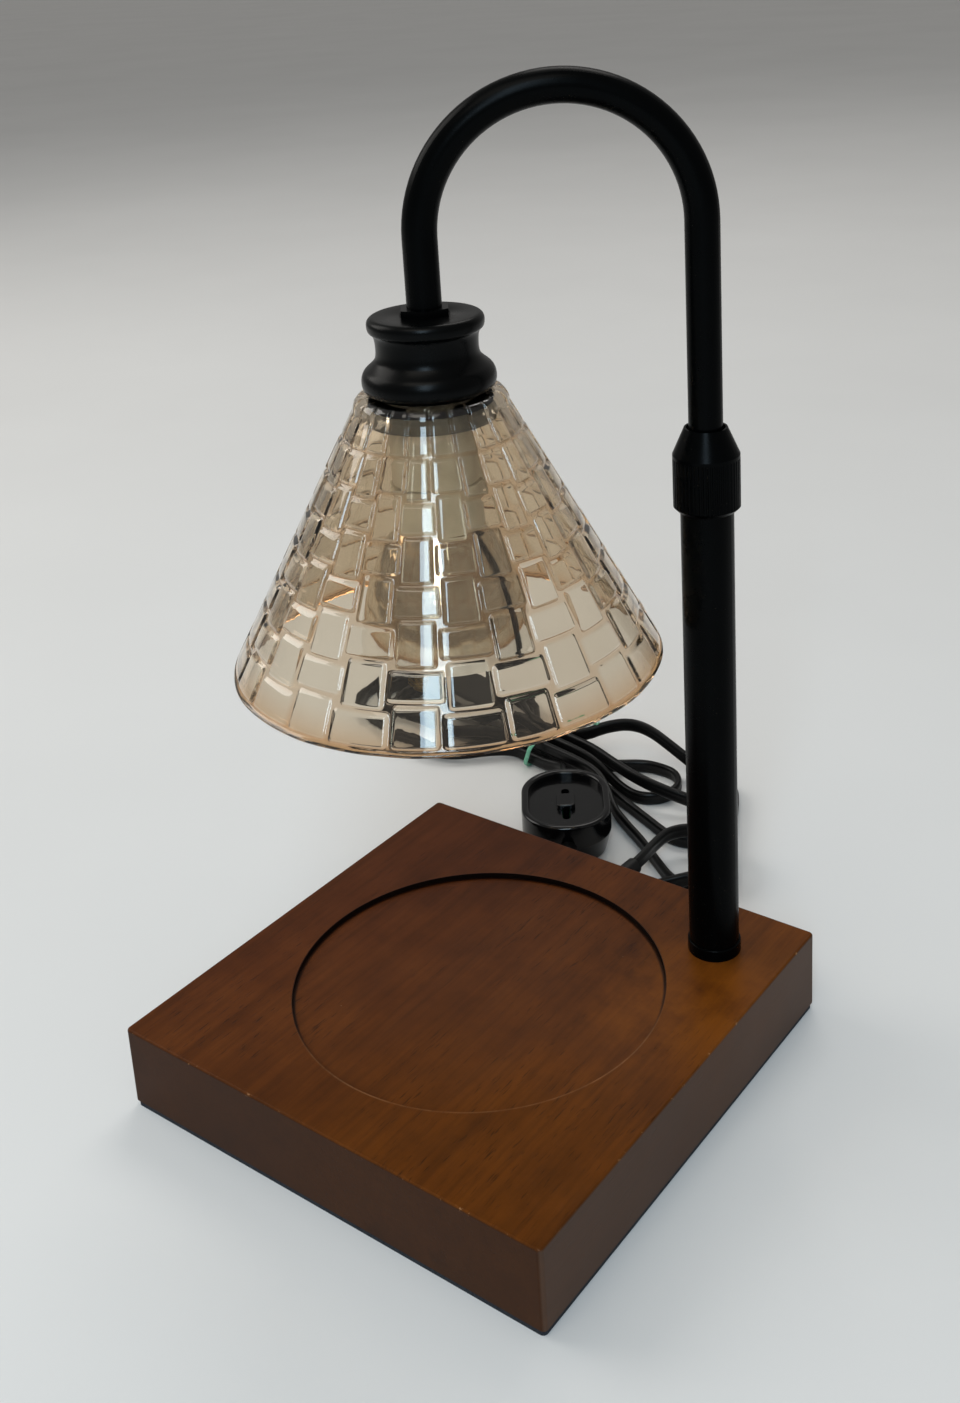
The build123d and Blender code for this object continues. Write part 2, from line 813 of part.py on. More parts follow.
def make_dimmer_slider():
    floor_z = dimmer_height - dimmer_dish
    stem_bottom = dimmer_split * 0.5 + board_thick + clear_gap
    stem_height = floor_z + clear_gap - stem_bottom
    stem = Pos(0, 0, stem_bottom) * extrude(SlotOverall(slider_stem_length, slider_stem_width), stem_height)
    knob = extrude(RectangleRounded(slider_length, slider_width, slider_corner), slider_height)
    knob = fillet(knob.faces().sort_by(Axis.Z)[-1].edges(), slider_round)
    return dimmer_frame * (stem + Pos(0, 0, floor_z + clear_gap) * knob)


def make_dimmer_screws():
    length = dimmer_split + screw_head_height
    shank = Pos(0, 0, screw_head_height) * extrude(Circle(screw_dia / 2), length - screw_head_height)
    screw = shank + extrude(Circle(screw_head_dia / 2), screw_head_height)
    places = [side * (dimmer_length / 2 - dimmer_boss_inset) for side in (-1, 1)]
    return dimmer_frame * Compound([Pos(x, 0, 0) * screw for x in places])


def make_dimmer_reliefs():
    root_r = dimmer_relief_dia / 2
    taper = Solid.make_cone(root_r, cord_dia / 2 + relief_lip, dimmer_relief)
    sleeves = []
    for side in (-1, 1):
        at_end = Plane((side * dimmer_length / 2, 0, dimmer_split), z_dir=(side, 0, 0))
        sleeves.append(at_end * taper)
    return dimmer_frame * Compound(sleeves)


def dimmer_exit(side):
    """The point where the cord meets the dimmer's strain relief."""
    return dimmer_middle + dimmer_axis * (side * (dimmer_length / 2 + dimmer_relief))


# Cord from the base to the dimmer: over the loops, round behind the post, back over them and under the gland
lead_route = [
    Vector(gland_x, base_side / 2 + gland_collar_thick + gland_taper, gland_height),
    Vector(gland_x, 103.5, gland_height),
    Vector(-6.3, 113.5, 10.8),
    Vector(-7.5, 127.4, 9.2),
    Vector(0.9, 135.8, 8.8),
    Vector(12.7, 135.8, 8.7),
    Vector(21.1, 127.4, 8.7),
    Vector(21.1, 115.6, 8.6),
    Vector(12.5, 106.0, 8.0),
    Vector(0.5, 97.5, 4.2),
    Vector(-7.5, 88.5, 4.2),
    Vector(-16.5, 83.6, 6.4),
    dimmer_exit(1) + dimmer_axis * 9.0,
    dimmer_exit(1),
]

# Hank: key points with headings, joined by pairs of tangent arcs
hank_along = Vector(1, 0, 0).rotate(Axis.Z, hank_turn)
hank_across = Vector(0, 1, 0).rotate(Axis.Z, hank_turn)
last_loop = hank_loops - 1


def hank_point(along, across, height):
    """A point of the hank, from its tie along its length and across it."""
    return Vector(*hank_place, height) + hank_along * along + hank_across * across


def waist_slot(strand, side):
    """Where a strand passes the waist: across and height, outer strands first, in two layers."""
    across = side * (hank_loops - strand) * waist_step / 2
    return across, upper_layer if strand % 2 else lower_layer


def hank_stations():
    """Every point of the hank with its heading, from the dimmer to the plug."""
    left = hank_along * -1
    right = hank_along
    away = hank_across
    left_turn = left_fan + left_run
    stations = [(dimmer_exit(-1), dimmer_axis * -1)]
    for loop in range(hank_loops):
        low_v, low_z = waist_slot(loop, -1)
        up_v, up_z = waist_slot(loop, 1)
        left_half = left_half_inner + left_step * (last_loop - loop)
        stations.append((hank_point(waist_half, low_v, low_z), left))
        stations.append((hank_point(-waist_half, low_v, low_z), left))
        stations.append((hank_point(-left_fan, left_middle - left_half, low_z), left))
        stations.append((hank_point(-left_turn, left_middle - left_half, low_z), left))
        stations.append((hank_point(-left_turn - left_half, left_middle, cord_rest), away))
        stations.append((hank_point(-left_turn, left_middle + left_half, up_z), right))
        stations.append((hank_point(-left_fan, left_middle + left_half, up_z), right))
        stations.append((hank_point(-waist_half, up_v, up_z), right))
        stations.append((hank_point(waist_half, up_v, up_z), right))
        for along, across, height, heading in right_sides[loop]:
            stations.append((hank_point(along, across, height), right.rotate(Axis.Z, heading)))
    end_v, end_z = waist_slot(hank_loops, -1)
    stations.append((hank_point(-waist_half, end_v, end_z), left))
    stations.append((plug_rear() + right * cord_dia, left))
    stations.append((plug_rear(), left))
    return stations


def plug_rear():
    """The point where the cord meets the plug's strain relief, above the left loops."""
    height = lower_layer + cord_dia / 2 + tie_gap + plug_thick / 2
    return hank_point(-waist_half - 4 * cord_dia, 0, height)


def arc_pair(start, start_heading, end, end_heading):
    """Two tangent arcs from one heading to another, or one straight line."""
    step = end - start
    if start_heading.cross(step).length < 1e-6 and end_heading.cross(step).length < 1e-6:
        return [Line(start, end)]
    both = start_heading + end_heading
    opening = 1 - start_heading.dot(end_heading)
    along = step.dot(both)
    if opening < 1e-9:
        reach = step.dot(step) / (2 * along)
    else:
        reach = (-along + math.sqrt(along * along + 2 * opening * step.dot(step))) / (2 * opening)
    joint = (start + end + (start_heading - end_heading) * reach) * 0.5
    middle = end - end_heading * reach - start - start_heading * reach
    first = TangentArc(start, joint, tangent=start_heading)
    second = TangentArc(joint, end, tangent=middle.normalized())
    return [first, second]


def hank_path():
    edges = []
    stations = hank_stations()
    for (start, heading), (end, next_heading) in zip(stations, stations[1:]):
        edges += arc_pair(start, heading, end, next_heading)
    return Wire(edges)


def make_cord_hank(path):
    start, heading = hank_stations()[0]
    section = Plane(start, z_dir=heading) * Circle(cord_dia / 2)
    return sweep(section, path=path)


def least_self_gap(path, spacing=2.0):
    """Least clear distance between turns of a wound tube, measured on points along it."""
    count = int(path.length / spacing)
    points = [tuple(path.position_at(index / count)) for index in range(count + 1)]
    apart = int(4 * cord_dia / spacing)
    least = min(
        math.dist(points[first], points[second])
        for first in range(count + 1)
        for second in range(first + apart, count + 1)
    )
    return least - cord_dia


# Twist tie round the waist, with its twisted tail
def make_cord_tie():
    clear = cord_dia / 2 + tie_gap + tie_dia / 2
    low_v = waist_slot(0, -1)[0] - clear
    high_v = waist_slot(0, 1)[0] + clear
    high_z = upper_layer + clear
    low_z = lower_layer - clear
    width = high_v - low_v
    height = high_z - low_z
    band = RectangleRounded(width, height, clear)
    middle = hank_point(0, (low_v + high_v) / 2, (high_z + low_z) / 2)
    across_plane = Plane(middle, x_dir=hank_across, z_dir=hank_along)
    path = across_plane * band.wire()
    at_start = Plane(path.position_at(0), z_dir=path.tangent_at(0))
    loop = sweep(at_start * Circle(tie_dia / 2), path=path)
    root = hank_point(0, high_v - clear, high_z)
    tip_heading = (hank_across * 0.55 + hank_along * 0.8 + Vector(0, 0, 0.25)).normalized()
    tail = extrude(Plane(root, z_dir=tip_heading) * Circle(tie_dia * 0.8), tie_tail)
    return loop + tail


# Plug: moulded body with a tapered relief, and two flat blades
def plug_plane():
    return Plane(plug_rear() - hank_along * plug_relief, x_dir=hank_across, z_dir=hank_along * -1)


def make_plug_body():
    plane = plug_plane()
    body = extrude(plane * RectangleRounded(plug_width, plug_thick, plug_thick * 0.35), plug_length)
    taper = Solid.make_cone(cord_dia / 2 + relief_lip, plug_relief_dia / 2, plug_relief)
    relief = Plane(plug_rear(), z_dir=hank_along * -1) * taper
    front = body.faces().sort_by(Axis(plane.origin, plane.z_dir))[-1]
    return fillet(front.edges(), plug_front_round) + relief


def make_plug_blades():
    front = plug_plane().offset(plug_length)
    section = Rectangle(blade_thick, blade_width)
    blades = [extrude(front * Pos(side * blade_spacing / 2, 0) * section, blade_length) for side in (-1, 1)]
    return Compound(blades)


# Build and write every sub-part
os.makedirs("parts", exist_ok=True)
hank_line = hank_path()
lead_radii = corner_radii(lead_route)
cord_lead = tube(lead_route, cord_dia)
cord_hank = make_cord_hank(hank_line)
sub_parts = {
    "base_block": make_base_block(),
    "base_pad": make_base_pad(),
    "post_stud": make_post_stud(),
    "stud_washer": make_stud_washer(),
    "stud_nut": make_stud_nut(),
    "post_foot_plug": make_foot_plug(),
    "post_foot_ring": make_foot_ring(),
    "post_tube": make_post_tube(),
    "post_collet": make_collet(),
    "lock_collar": make_lock_collar(),
    "arm_tube": make_arm_tube(),
    "arm_lead": make_arm_lead(),
    "arm_glide": make_arm_glide(),
    "arm_end_stop": make_arm_end_stop(),
    "arm_clip": make_arm_clip(),
    "shade_cap": make_cap(),
    "cap_nut": make_cap_nut(),
    "cap_inner_nut": make_inner_nut(),
    "socket_bracket": make_socket_bracket(),
    "socket_screws": make_socket_screws(),
    "lamp_socket": make_lamp_socket(),
    "socket_contacts": make_socket_contacts(),
    "glass_shade": make_glass_shade(),
    "shade_ring": make_shade_ring(),
    "bulb_base": make_bulb_base(),
    "bulb_pins": make_bulb_pins(),
    "bulb_reflector": make_bulb_reflector(),
    "bulb_lens": make_bulb_lens(),
    "bulb_capsule": make_bulb_capsule(),
    "post_lead": make_post_lead(),
    "cord_gland": make_cord_gland(),
    "cord_lead": cord_lead,
    "cord_hank": cord_hank,
    "cord_tie": make_cord_tie(),
    "dimmer_lower_shell": make_dimmer_lower(),
    "dimmer_upper_shell": make_dimmer_upper(),
    "dimmer_board": make_dimmer_board(),
    "dimmer_slider": make_dimmer_slider(),
    "dimmer_screws": make_dimmer_screws(),
    "dimmer_reliefs": make_dimmer_reliefs(),
    "plug_body": make_plug_body(),
    "plug_blades": make_plug_blades(),
}
for node, solid in sub_parts.items():
    save(node, solid)

cord_area = math.pi * cord_dia**2 / 4
lead_line = FilletPolyline(*lead_route, radius=lead_radii)
print("cord lead radii", [round(radius, 1) for radius in lead_radii])
print("cord lead length", round(lead_line.length, 1))
print("cord lead volume over section times length", round(cord_lead.volume / lead_line.length / cord_area, 4))
print("cord hank length", round(hank_line.length, 1))
print("cord hank volume over section times length", round(cord_hank.volume / hank_line.length / cord_area, 4))
hank_arcs = hank_line.edges().filter_by(GeomType.CIRCLE)
print("least radius of the hank", round(min(arc.radius for arc in hank_arcs), 1))
print("least gap of the hank to itself", round(least_self_gap(hank_line), 2))
print("shade axis", round(shade_axis.X, 2), round(shade_axis.Y, 2), "top", round(bend_z + bend_r + arm_r, 1))
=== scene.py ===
# %% [markdown]
# # A candle warmer lamp
# The lamp's solids come packed from the part: a wooden base, a black post with a swan-neck arm, a
# conical glass shade, a bulb, and a tied cord with a dimmer and a plug. This lesson dresses them.
# Solids whose shape is already right only get a finish. The moulded glass, the cap over it, the flat
# cord and the wire tie are new surfaces, worked out as arrays of points, because their lines are
# finer than the solids carry.

import math

import bpy
import numpy as np
from mathutils import Matrix, Vector


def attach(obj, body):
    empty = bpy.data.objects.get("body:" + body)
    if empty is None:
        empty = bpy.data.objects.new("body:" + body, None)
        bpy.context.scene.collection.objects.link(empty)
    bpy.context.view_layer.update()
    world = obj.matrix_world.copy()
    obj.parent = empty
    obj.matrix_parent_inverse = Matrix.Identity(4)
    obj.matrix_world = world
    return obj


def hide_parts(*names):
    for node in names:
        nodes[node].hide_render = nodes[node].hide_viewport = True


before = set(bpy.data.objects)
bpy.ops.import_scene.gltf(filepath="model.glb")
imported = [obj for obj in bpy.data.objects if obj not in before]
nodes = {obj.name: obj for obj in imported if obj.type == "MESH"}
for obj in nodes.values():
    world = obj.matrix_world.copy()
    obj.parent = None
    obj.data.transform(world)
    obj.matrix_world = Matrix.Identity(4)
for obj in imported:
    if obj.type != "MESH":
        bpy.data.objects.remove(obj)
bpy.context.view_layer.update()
scene = bpy.context.scene
scene.view_settings.view_transform = "Standard"
MM = 0.001
print("nodes in the frame:", len(nodes))

# %% [markdown]
# ## The camera
# The lamp is seen from a little above, off the base's front corner, with the camera slightly rolled.
# A camera is three unit vectors and a place: its right, its up and the way back to the eye. Building
# the matrix from them is plainer than a chain of rotations. The picture is a crop from the upper part
# of a frame, so the lens is shifted rather than tilted.

# %% camera
turn, tilt, roll = math.radians(37.91), math.radians(17.01), math.radians(-3.47)
back = Vector((math.sin(turn) * math.cos(tilt), -math.cos(turn) * math.cos(tilt), math.sin(tilt)))
level_right = Vector((0, 0, 1)).cross(back).normalized()
level_up = back.cross(level_right)
right = math.cos(roll) * level_right + math.sin(roll) * level_up
up = math.cos(roll) * level_up - math.sin(roll) * level_right
SENSOR, PICTURE_HIGH = 36.0, 1403
FOCAL_PX, AXIS_ABOVE_MIDDLE_PX = 1575, 281.5
EYE = (0.2632, -0.3203, 0.3343)
lens = bpy.data.cameras.new("lamp_camera")
lens.sensor_width = SENSOR
lens.lens = SENSOR * FOCAL_PX / PICTURE_HIGH
lens.shift_y = -AXIS_ABOVE_MIDDLE_PX / PICTURE_HIGH
camera = bpy.data.objects.new("lamp_camera", lens)
scene.collection.objects.link(camera)
axes = Matrix((right, up, back)).transposed().to_4x4()
camera.matrix_world = Matrix.Translation(EYE) @ axes
scene.camera = camera
print("lens in mm:", round(lens.lens, 2))

# %% [markdown]
# ## From arrays to meshes
# Every new piece is a grid of points: rows along it, columns round it. Two helpers turn such a grid
# into a mesh. The first lists the four corners of each cell with index arithmetic, so no loop touches
# a single vertex. The second stores the points and faces and shades them smooth.


# %% grid helpers
def grid_cells(rows, columns, round_columns=True, round_rows=False):
    """Corners (i, j), (i, j+1), (i+1, j+1), (i+1, j) of each cell of a grid, wrapped where it is round."""
    i = np.arange(rows if round_rows else rows - 1)[:, None]
    j = np.arange(columns if round_columns else columns - 1)[None, :]
    i2, j2 = (i + 1) % rows, (j + 1) % columns
    corners = np.stack([i * columns + j, i * columns + j2, i2 * columns + j2, i2 * columns + j], axis=-1)
    return corners.reshape(-1, 4)


def mesh_piece(name, points, cells, caps=()):
    """One object at the origin from points in metres, four-sided cells and end caps given as index lists."""
    mesh = bpy.data.meshes.new(name)
    mesh.from_pydata(points.reshape(-1, 3).tolist(), [], cells.tolist() + [list(cap) for cap in caps])
    mesh.polygons.foreach_set("use_smooth", np.ones(len(mesh.polygons), bool))
    mesh.validate()
    mesh.update()
    piece = bpy.data.objects.new(name, mesh)
    scene.collection.objects.link(piece)
    return piece


# %% [markdown]
# ## The cord's line
# A cord is a fixed length of something limp, so its line has to be smooth everywhere. A spline that
# is pulled towards a few given points gives that: it cuts inside each corner and never kinks.
# The points are close to those that the part's solid follows. Blender works the spline out, and the
# mesh tube then follows its points.


# %% spline helper
def smooth_line(name, route):
    """Points along a quadratic spline, pulled towards a route's points, that ends at its first and last."""
    curve = bpy.data.curves.new(name, "CURVE")
    curve.dimensions = "3D"
    curve.resolution_u = 10
    spline = curve.splines.new("NURBS")
    spline.points.add(len(route) - 1)
    spline.points.foreach_set("co", np.column_stack([route, np.ones(len(route))]).ravel())
    spline.order_u = 3
    spline.use_endpoint_u = True
    holder = bpy.data.objects.new(name, curve)
    scene.collection.objects.link(holder)
    bpy.context.view_layer.update()
    mesh = bpy.data.meshes.new_from_object(holder.evaluated_get(bpy.context.evaluated_depsgraph_get()))
    line = np.empty(len(mesh.vertices) * 3)
    mesh.vertices.foreach_get("co", line)
    bpy.data.objects.remove(holder)
    bpy.data.curves.remove(curve)
    bpy.data.meshes.remove(mesh)
    return line.reshape(-1, 3)


def unit(vectors):
    """Vectors divided by their lengths."""
    return vectors / np.linalg.norm(vectors, axis=-1, keepdims=True)


def line_length(line):
    """Sum of the steps between the points of a line."""
    return float(np.linalg.norm(np.diff(line, axis=0), axis=1).sum())


def along_line(line, section, upright=(0, 0, 1)):
    """Section (side, rise) carried along a line: point + side * (heading x up) + rise * up, kept upright."""
    heading = unit(np.gradient(line, axis=0))
    rise = np.asarray(upright, float) - (heading @ np.asarray(upright, float))[:, None] * heading
    rise = unit(rise)
    side = np.cross(heading, rise)
    return line[:, None] + side[:, None] * section[None, :, :1] + rise[:, None] * section[None, :, 1:]


def tube_piece(name, line, section, upright=(0, 0, 1)):
    """A capped tube of the given section along a line."""
    points = along_line(line, section, upright)
    rows, columns = points.shape[:2]
    cells = grid_cells(rows, columns)[:, ::-1]
    caps = [np.arange(columns), (rows - 1) * columns + np.arange(columns)[::-1]]
    return mesh_piece(name, points, cells, caps)


# %% [markdown]
# ## The flat twin cord
# The mains cord is two round conductors side by side in one black sheath, so its section is a slim
# oval with a shallow groove down each broad side. A flat cord bends most easily across its thin way,
# so in loops that lie flat it stands on edge. The section below is that oval, broad side upright.

# %% cord section
CORD_WIDE, CORD_THIN = 5.4 * MM, 2.9 * MM
around = np.linspace(0, 2 * np.pi, 20, endpoint=False)
rise = np.sin(around) * CORD_WIDE / 2
groove = 0.32 * np.exp(-((rise / (0.7 * MM)) ** 2))
thin_way = np.sign(np.cos(around)) * np.abs(np.cos(around)) ** 0.7 * (CORD_THIN / 2) * (1 - groove)
cord_section = np.column_stack([thin_way, rise])
print("cord section in mm:", CORD_WIDE / MM, "by", CORD_THIN / MM)

# %% [markdown]
# ## From the base to the dimmer
# The cord leaves a tapered strain relief in the back face, falls, crosses over the loops that lie
# there, turns round behind the post and comes back over them and under the strain relief to the
# dimmer.

# %% cord lead
DIMMER_TURN, DIMMER_REACH = math.radians(-54.4), 27.0
dimmer_heading = np.array([math.cos(DIMMER_TURN), math.sin(DIMMER_TURN), 0.0])
dimmer_middle = np.array([-46.2, 116.0, 9.0])
near_exit = dimmer_middle + dimmer_heading * DIMMER_REACH
far_exit = dimmer_middle - dimmer_heading * DIMMER_REACH
lead_route = MM * np.array(
    [
        (-4.0, 97.0, 12.7),
        (-4.0, 103.5, 12.7),
        (-6.3, 113.5, 10.8),
        (-7.5, 127.4, 9.2),
        (0.9, 135.8, 8.8),
        (12.7, 135.8, 8.7),
        (21.1, 127.4, 8.7),
        (21.1, 115.6, 8.6),
        (12.5, 106.0, 8.0),
        (0.5, 97.5, 4.2),
        (-7.5, 88.5, 4.2),
        (-16.5, 83.6, 6.4),
        tuple(near_exit + dimmer_heading * 9.0),
        tuple(near_exit),
    ]
)
lead_line = smooth_line("lead_line", lead_route)
cord_lead = tube_piece("cord_lead_flat", lead_line, cord_section)
print("lead length in m:", round(line_length(lead_line), 3))

# %% [markdown]
# ## The tied hank
# The rest of the cord is folded into loops and tied in the middle. All loops lie the same way and are
# drawn in alike at the tie, in two layers. On the left they lie neatly inside each other, so one rule
# with the loop's number in it gives the points. On the right nothing holds them: one arches off the
# tie and runs wide, one is slimmer and one short, so each has its own row of points. A bight takes
# points on the many-sided figure that touches its arc.

# %% hank route
HANK_LOOPS, HANK_TURN = 3, math.radians(-10)
STRAND_PITCH, LOW_LAYER, LAYER_STEP = 3.0, 4.1, 5.6
hank_heading = np.array([math.cos(HANK_TURN), math.sin(HANK_TURN), 0.0])
hank_across = np.array([-hank_heading[1], hank_heading[0], 0.0])
REST = 2.75


def waist_slot(strand, side):
    """Where a strand passes the tie: outer strands further out, every other one in the upper layer."""
    return side * (HANK_LOOPS - strand) * STRAND_PITCH, LOW_LAYER + (strand % 2) * LAYER_STEP


def left_half_loop(loop):
    """Points (along, across, height) from the tie to the left, round the bight and back to the tie."""
    low, low_z = waist_slot(loop, -1)
    high, high_z = waist_slot(loop, 1)
    half = 12.0 + 9.0 * (HANK_LOOPS - 1 - loop)
    bight = np.radians([22.5, 67.5, 112.5, 157.5])
    reach = half / math.cos(math.pi / 8)
    heights = [(low_z + REST) / 2, REST, REST, (high_z + REST) / 2]
    out = [(4, low, low_z), (-4, low, low_z), (-18, low, low_z)]
    out += [(-34, -4 - half, low_z), (-63, -4 - half, low_z)]
    turn_points = np.column_stack([-80 - reach * np.sin(bight), -4 - reach * np.cos(bight), heights])
    home = [(-63, half - 4, high_z), (-34, half - 4, high_z), (-18, high, high_z)]
    return [*out, *turn_points, *home]


wide_loop = [(-6, 9, 9), (2, 9, 9.7), (9, 11, 11.4), (14.4, 17.4, 14.2), (22, 23.4, 16), (31, 25.8, 15.4)]
wide_loop += [(42, 26.4, 11.6), (56, 27.6, 5.6), (73.5, 30, REST), (85, 14, REST), (95, -1.2, REST)]
wide_loop += [(104, -14, REST), (109.6, -20.6, REST), (110, -29.2, REST), (105, -36, REST)]
wide_loop += [(96.8, -37.6, REST), (84, -31.4, REST), (72, -25.4, REST), (59, -20.2, REST), (49, -16, 3.4)]
wide_loop += [(40, -9.6, 6.2), (31, -6.2, 8.8), (20, -6, 9.7), (10, -6, 9.7)]
slim_loop = [(-4, 6, 9.7), (4, 6, 9.7), (18, 5.6, 9.9), (33, 1.8, 10.4), (47, -0.2, 9.9), (61, 1.8, 8.2)]
slim_loop += [(71.5, 6.6, 5.6), (80, 9, 3.6), (89, 2, REST), (89, -9.4, REST), (80, -16.6, REST)]
slim_loop += [(64, -12.6, REST), (46, -8, REST), (32, -5, 3.2), (20, -3.2, 3.9), (11, -3, 4.1)]
short_loop = [(-4, 3, 4.1), (4, 3, 4.1), (16, 3.2, 4.1), (25, 8, 3.6), (34, 18.5, 3), (42, 21.3, REST)]
short_loop += [(49.9, 21.3, REST), (56.8, 14.4, REST), (56.8, 4.6, REST), (49.9, -2.3, REST)]
short_loop += [(40, -1.6, 3.2), (31, 0.2, 5.4), (22, 0.4, 8.6), (13, 0, 9.7)]
right_half_loops = [wide_loop, slim_loop, short_loop]
print("points on the right, loop by loop:", [len(loop) for loop in right_half_loops])

# %% cord hank
whole_loops = [left_half_loop(loop) + right_half_loops[loop] for loop in range(HANK_LOOPS)]
from_dimmer = [(15.0, -9.0, 6.0)]
to_plug = [(4, 0, 9.7), (-5, 0, 9.7), (-11, 0, 10.4), (-16, 0, 12.8), (-19.8, 0, 13.3), (-24.4, 0, 13.3)]
hank_local = np.vstack([from_dimmer, *whole_loops, to_plug])
hank_middle = np.array([-84.0, 162.0, 0.0])
hank_points = hank_middle + hank_local[:, :1] * hank_heading + hank_local[:, 1:2] * hank_across
hank_points[:, 2] = hank_local[:, 2]
hank_route = MM * np.vstack([[far_exit], [far_exit - 6.0 * dimmer_heading], hank_points])
hank_line = smooth_line("hank_line", hank_route)
cord_hank = tube_piece("cord_hank_flat", hank_line, cord_section)
print("hank length in m:", round(line_length(hank_line), 3), "points:", len(hank_route))

# %% [markdown]
# ## The wire tie
# A mint green twist tie holds the hank: a flat plastic strip with a wire in it, once round the
# strands, its two ends twisted together and bent away. The band is a rounded rectangle, and the tail
# is two strips wound round one line.


# %% wire tie
def band_line(half_wide, half_high, corner, count=96):
    """Rounded rectangle (across, height): corner centres plus a quarter circle each, joined in order."""
    quarter = np.linspace(0, np.pi / 2, count // 4)
    starts = np.repeat(np.arange(4) * np.pi / 2, len(quarter))
    angle = starts + np.tile(quarter, 4)
    sign = np.array([(1, 1), (-1, 1), (-1, -1), (1, -1)])
    centres = np.repeat(sign * (half_wide - corner, half_high - corner), len(quarter), axis=0)
    return centres + corner * np.column_stack([np.cos(angle), np.sin(angle)])


BAND_HALF_WIDE, BAND_HALF_HIGH, BAND_LIFT = 12.4, 6.15, 0.55
BAND_LEAN, BAND_BACK = 0.4, 3.0
oval = np.column_stack([np.cos(around), np.sin(around)])
band = band_line(BAND_HALF_WIDE, BAND_HALF_HIGH, 3.4)
band_points = MM * (hank_middle + band[:, :1] * hank_across)
band_points += MM * hank_heading * (BAND_LEAN * band[:, 1:] - BAND_BACK)
band_points[:, 2] = MM * (BAND_LIFT + BAND_HALF_HIGH + band[:, 1])
band_heading = unit(np.roll(band_points, -1, axis=0) - np.roll(band_points, 1, axis=0))
band_out = unit(np.cross(band_heading, hank_heading))
band_side = np.cross(band_out, band_heading)
strip = oval * (1.0 * MM, 0.36 * MM)
band_grid = band_points[:, None] + band_side[:, None] * strip[None, :, :1]
band_grid = band_grid + band_out[:, None] * strip[None, :, 1:]
band_cells = grid_cells(len(band_points), len(around), round_rows=True)
print("tie band:", band_grid.shape[:2])

# %% tie tail
TAIL_ROWS, TAIL_LONG, TAIL_TURNS = 60, 15, 2.5
tail_root = MM * np.append((hank_middle + 7.5 * hank_across)[:2], 13.1)
tail_way = unit(0.55 * hank_across + 0.8 * hank_heading + np.array([0.0, 0.0, 0.22]))
tail_side = unit(np.cross(tail_way, (0, 0, 1)))
tail_up = np.cross(tail_side, tail_way)
tail_step = np.linspace(0, 1, TAIL_ROWS)[:, None]
slim_oval = oval[::2]
tail_grids = []
for strand in (0, np.pi):
    spin = strand + tail_step * (2 * TAIL_TURNS) * np.pi
    splay = (0.55 + 2.2 * np.clip(tail_step - 0.78, 0, 1)) * MM
    coil = splay * (np.cos(spin) * tail_side + np.sin(spin) * tail_up)
    wound = tail_root + tail_way * tail_step * TAIL_LONG * MM + coil
    tail_grids.append(along_line(wound, slim_oval * (0.95 * MM, 0.34 * MM), tail_up))
tail_cells = grid_cells(TAIL_ROWS, len(slim_oval))[:, ::-1]
tie_points = np.vstack([band_grid.reshape(-1, 3)] + [g.reshape(-1, 3) for g in tail_grids])
first_tail, second_tail = band_grid.size // 3, band_grid.size // 3 + tail_grids[0].size // 3
tie_cells = np.vstack([band_cells, tail_cells + first_tail, tail_cells + second_tail])
ends = np.arange(len(slim_oval))
last_ring = (TAIL_ROWS - 1) * len(ends) + ends[::-1]
tie_caps = [tail + ring for tail in (first_tail, second_tail) for ring in (ends, last_ring)]
wire_tie = mesh_piece("wire_tie", tie_points, tie_cells, tie_caps)
print("tie faces:", len(wire_tie.data.polygons))

# %% [markdown]
# ## The moulded glass shade
# The shade is pressed glass: a cone covered with raised tiles like a basket weave, a tall narrow tile
# beside a short wide one, turn by turn in rows and columns, under a band of plain tiles. Its outside
# is a function of the angle and the height: the cone's radius plus the rise of the tile there. A tile
# rises in a smooth step from its edge, has a slight crown, and tilts a little in its own way, so that
# every tile catches the light differently. The inside is a plain cone. Grid lines are packed closely
# at the tiles' edges, because that is where the surface turns.

# %% shade sizes
SHADE_X, SHADE_Y = -6.252, 3.982
RIM_Z, SHOULDER_Z, TOP_Z = 134.5, 211.0, 215.0
RIM_R, NECK_R = 63.4, 22.25
WALL, PROUD, BEAD_R = 3.6, 1.1, 62.5
TILE_COLUMNS, TILE_ROWS = 24, 7
FIRST_Z, BAND_Z = RIM_Z + 1.8, SHOULDER_Z - 7.5
ROW = (BAND_Z - FIRST_Z) / TILE_ROWS
STEP = 2 * np.pi / TILE_COLUMNS
TALL_HALF, WIDE_HALF, BAND_HALF = np.radians([6.3, 8.1, 7.2])
WEAVE, GROOVE = 0.95, 0.4
TILE_RISE, UNEVEN, CROWN, TILT = 0.6 * PROUD, 0.16, 0.06, 0.1
slope = (RIM_R - NECK_R) / (SHOULDER_Z - RIM_Z)
slant = math.hypot(1, slope)


def over_radius(height):
    """Radius over the tiles at a height: a straight line from the rim to the neck."""
    return RIM_R - (height - RIM_Z) * slope


def ramp(value):
    """Smooth step from 0 to 1."""
    value = np.clip(value, 0, 1)
    return value * value * (3 - 2 * value)


def scatter(first, second, seed):
    """A fixed number from 0 to 1 for a pair of whole numbers, from the fraction of a large sine."""
    return np.modf(np.abs(np.sin(first * 12.9898 + second * 78.233 + seed * 37.719) * 43758.5453))[0]


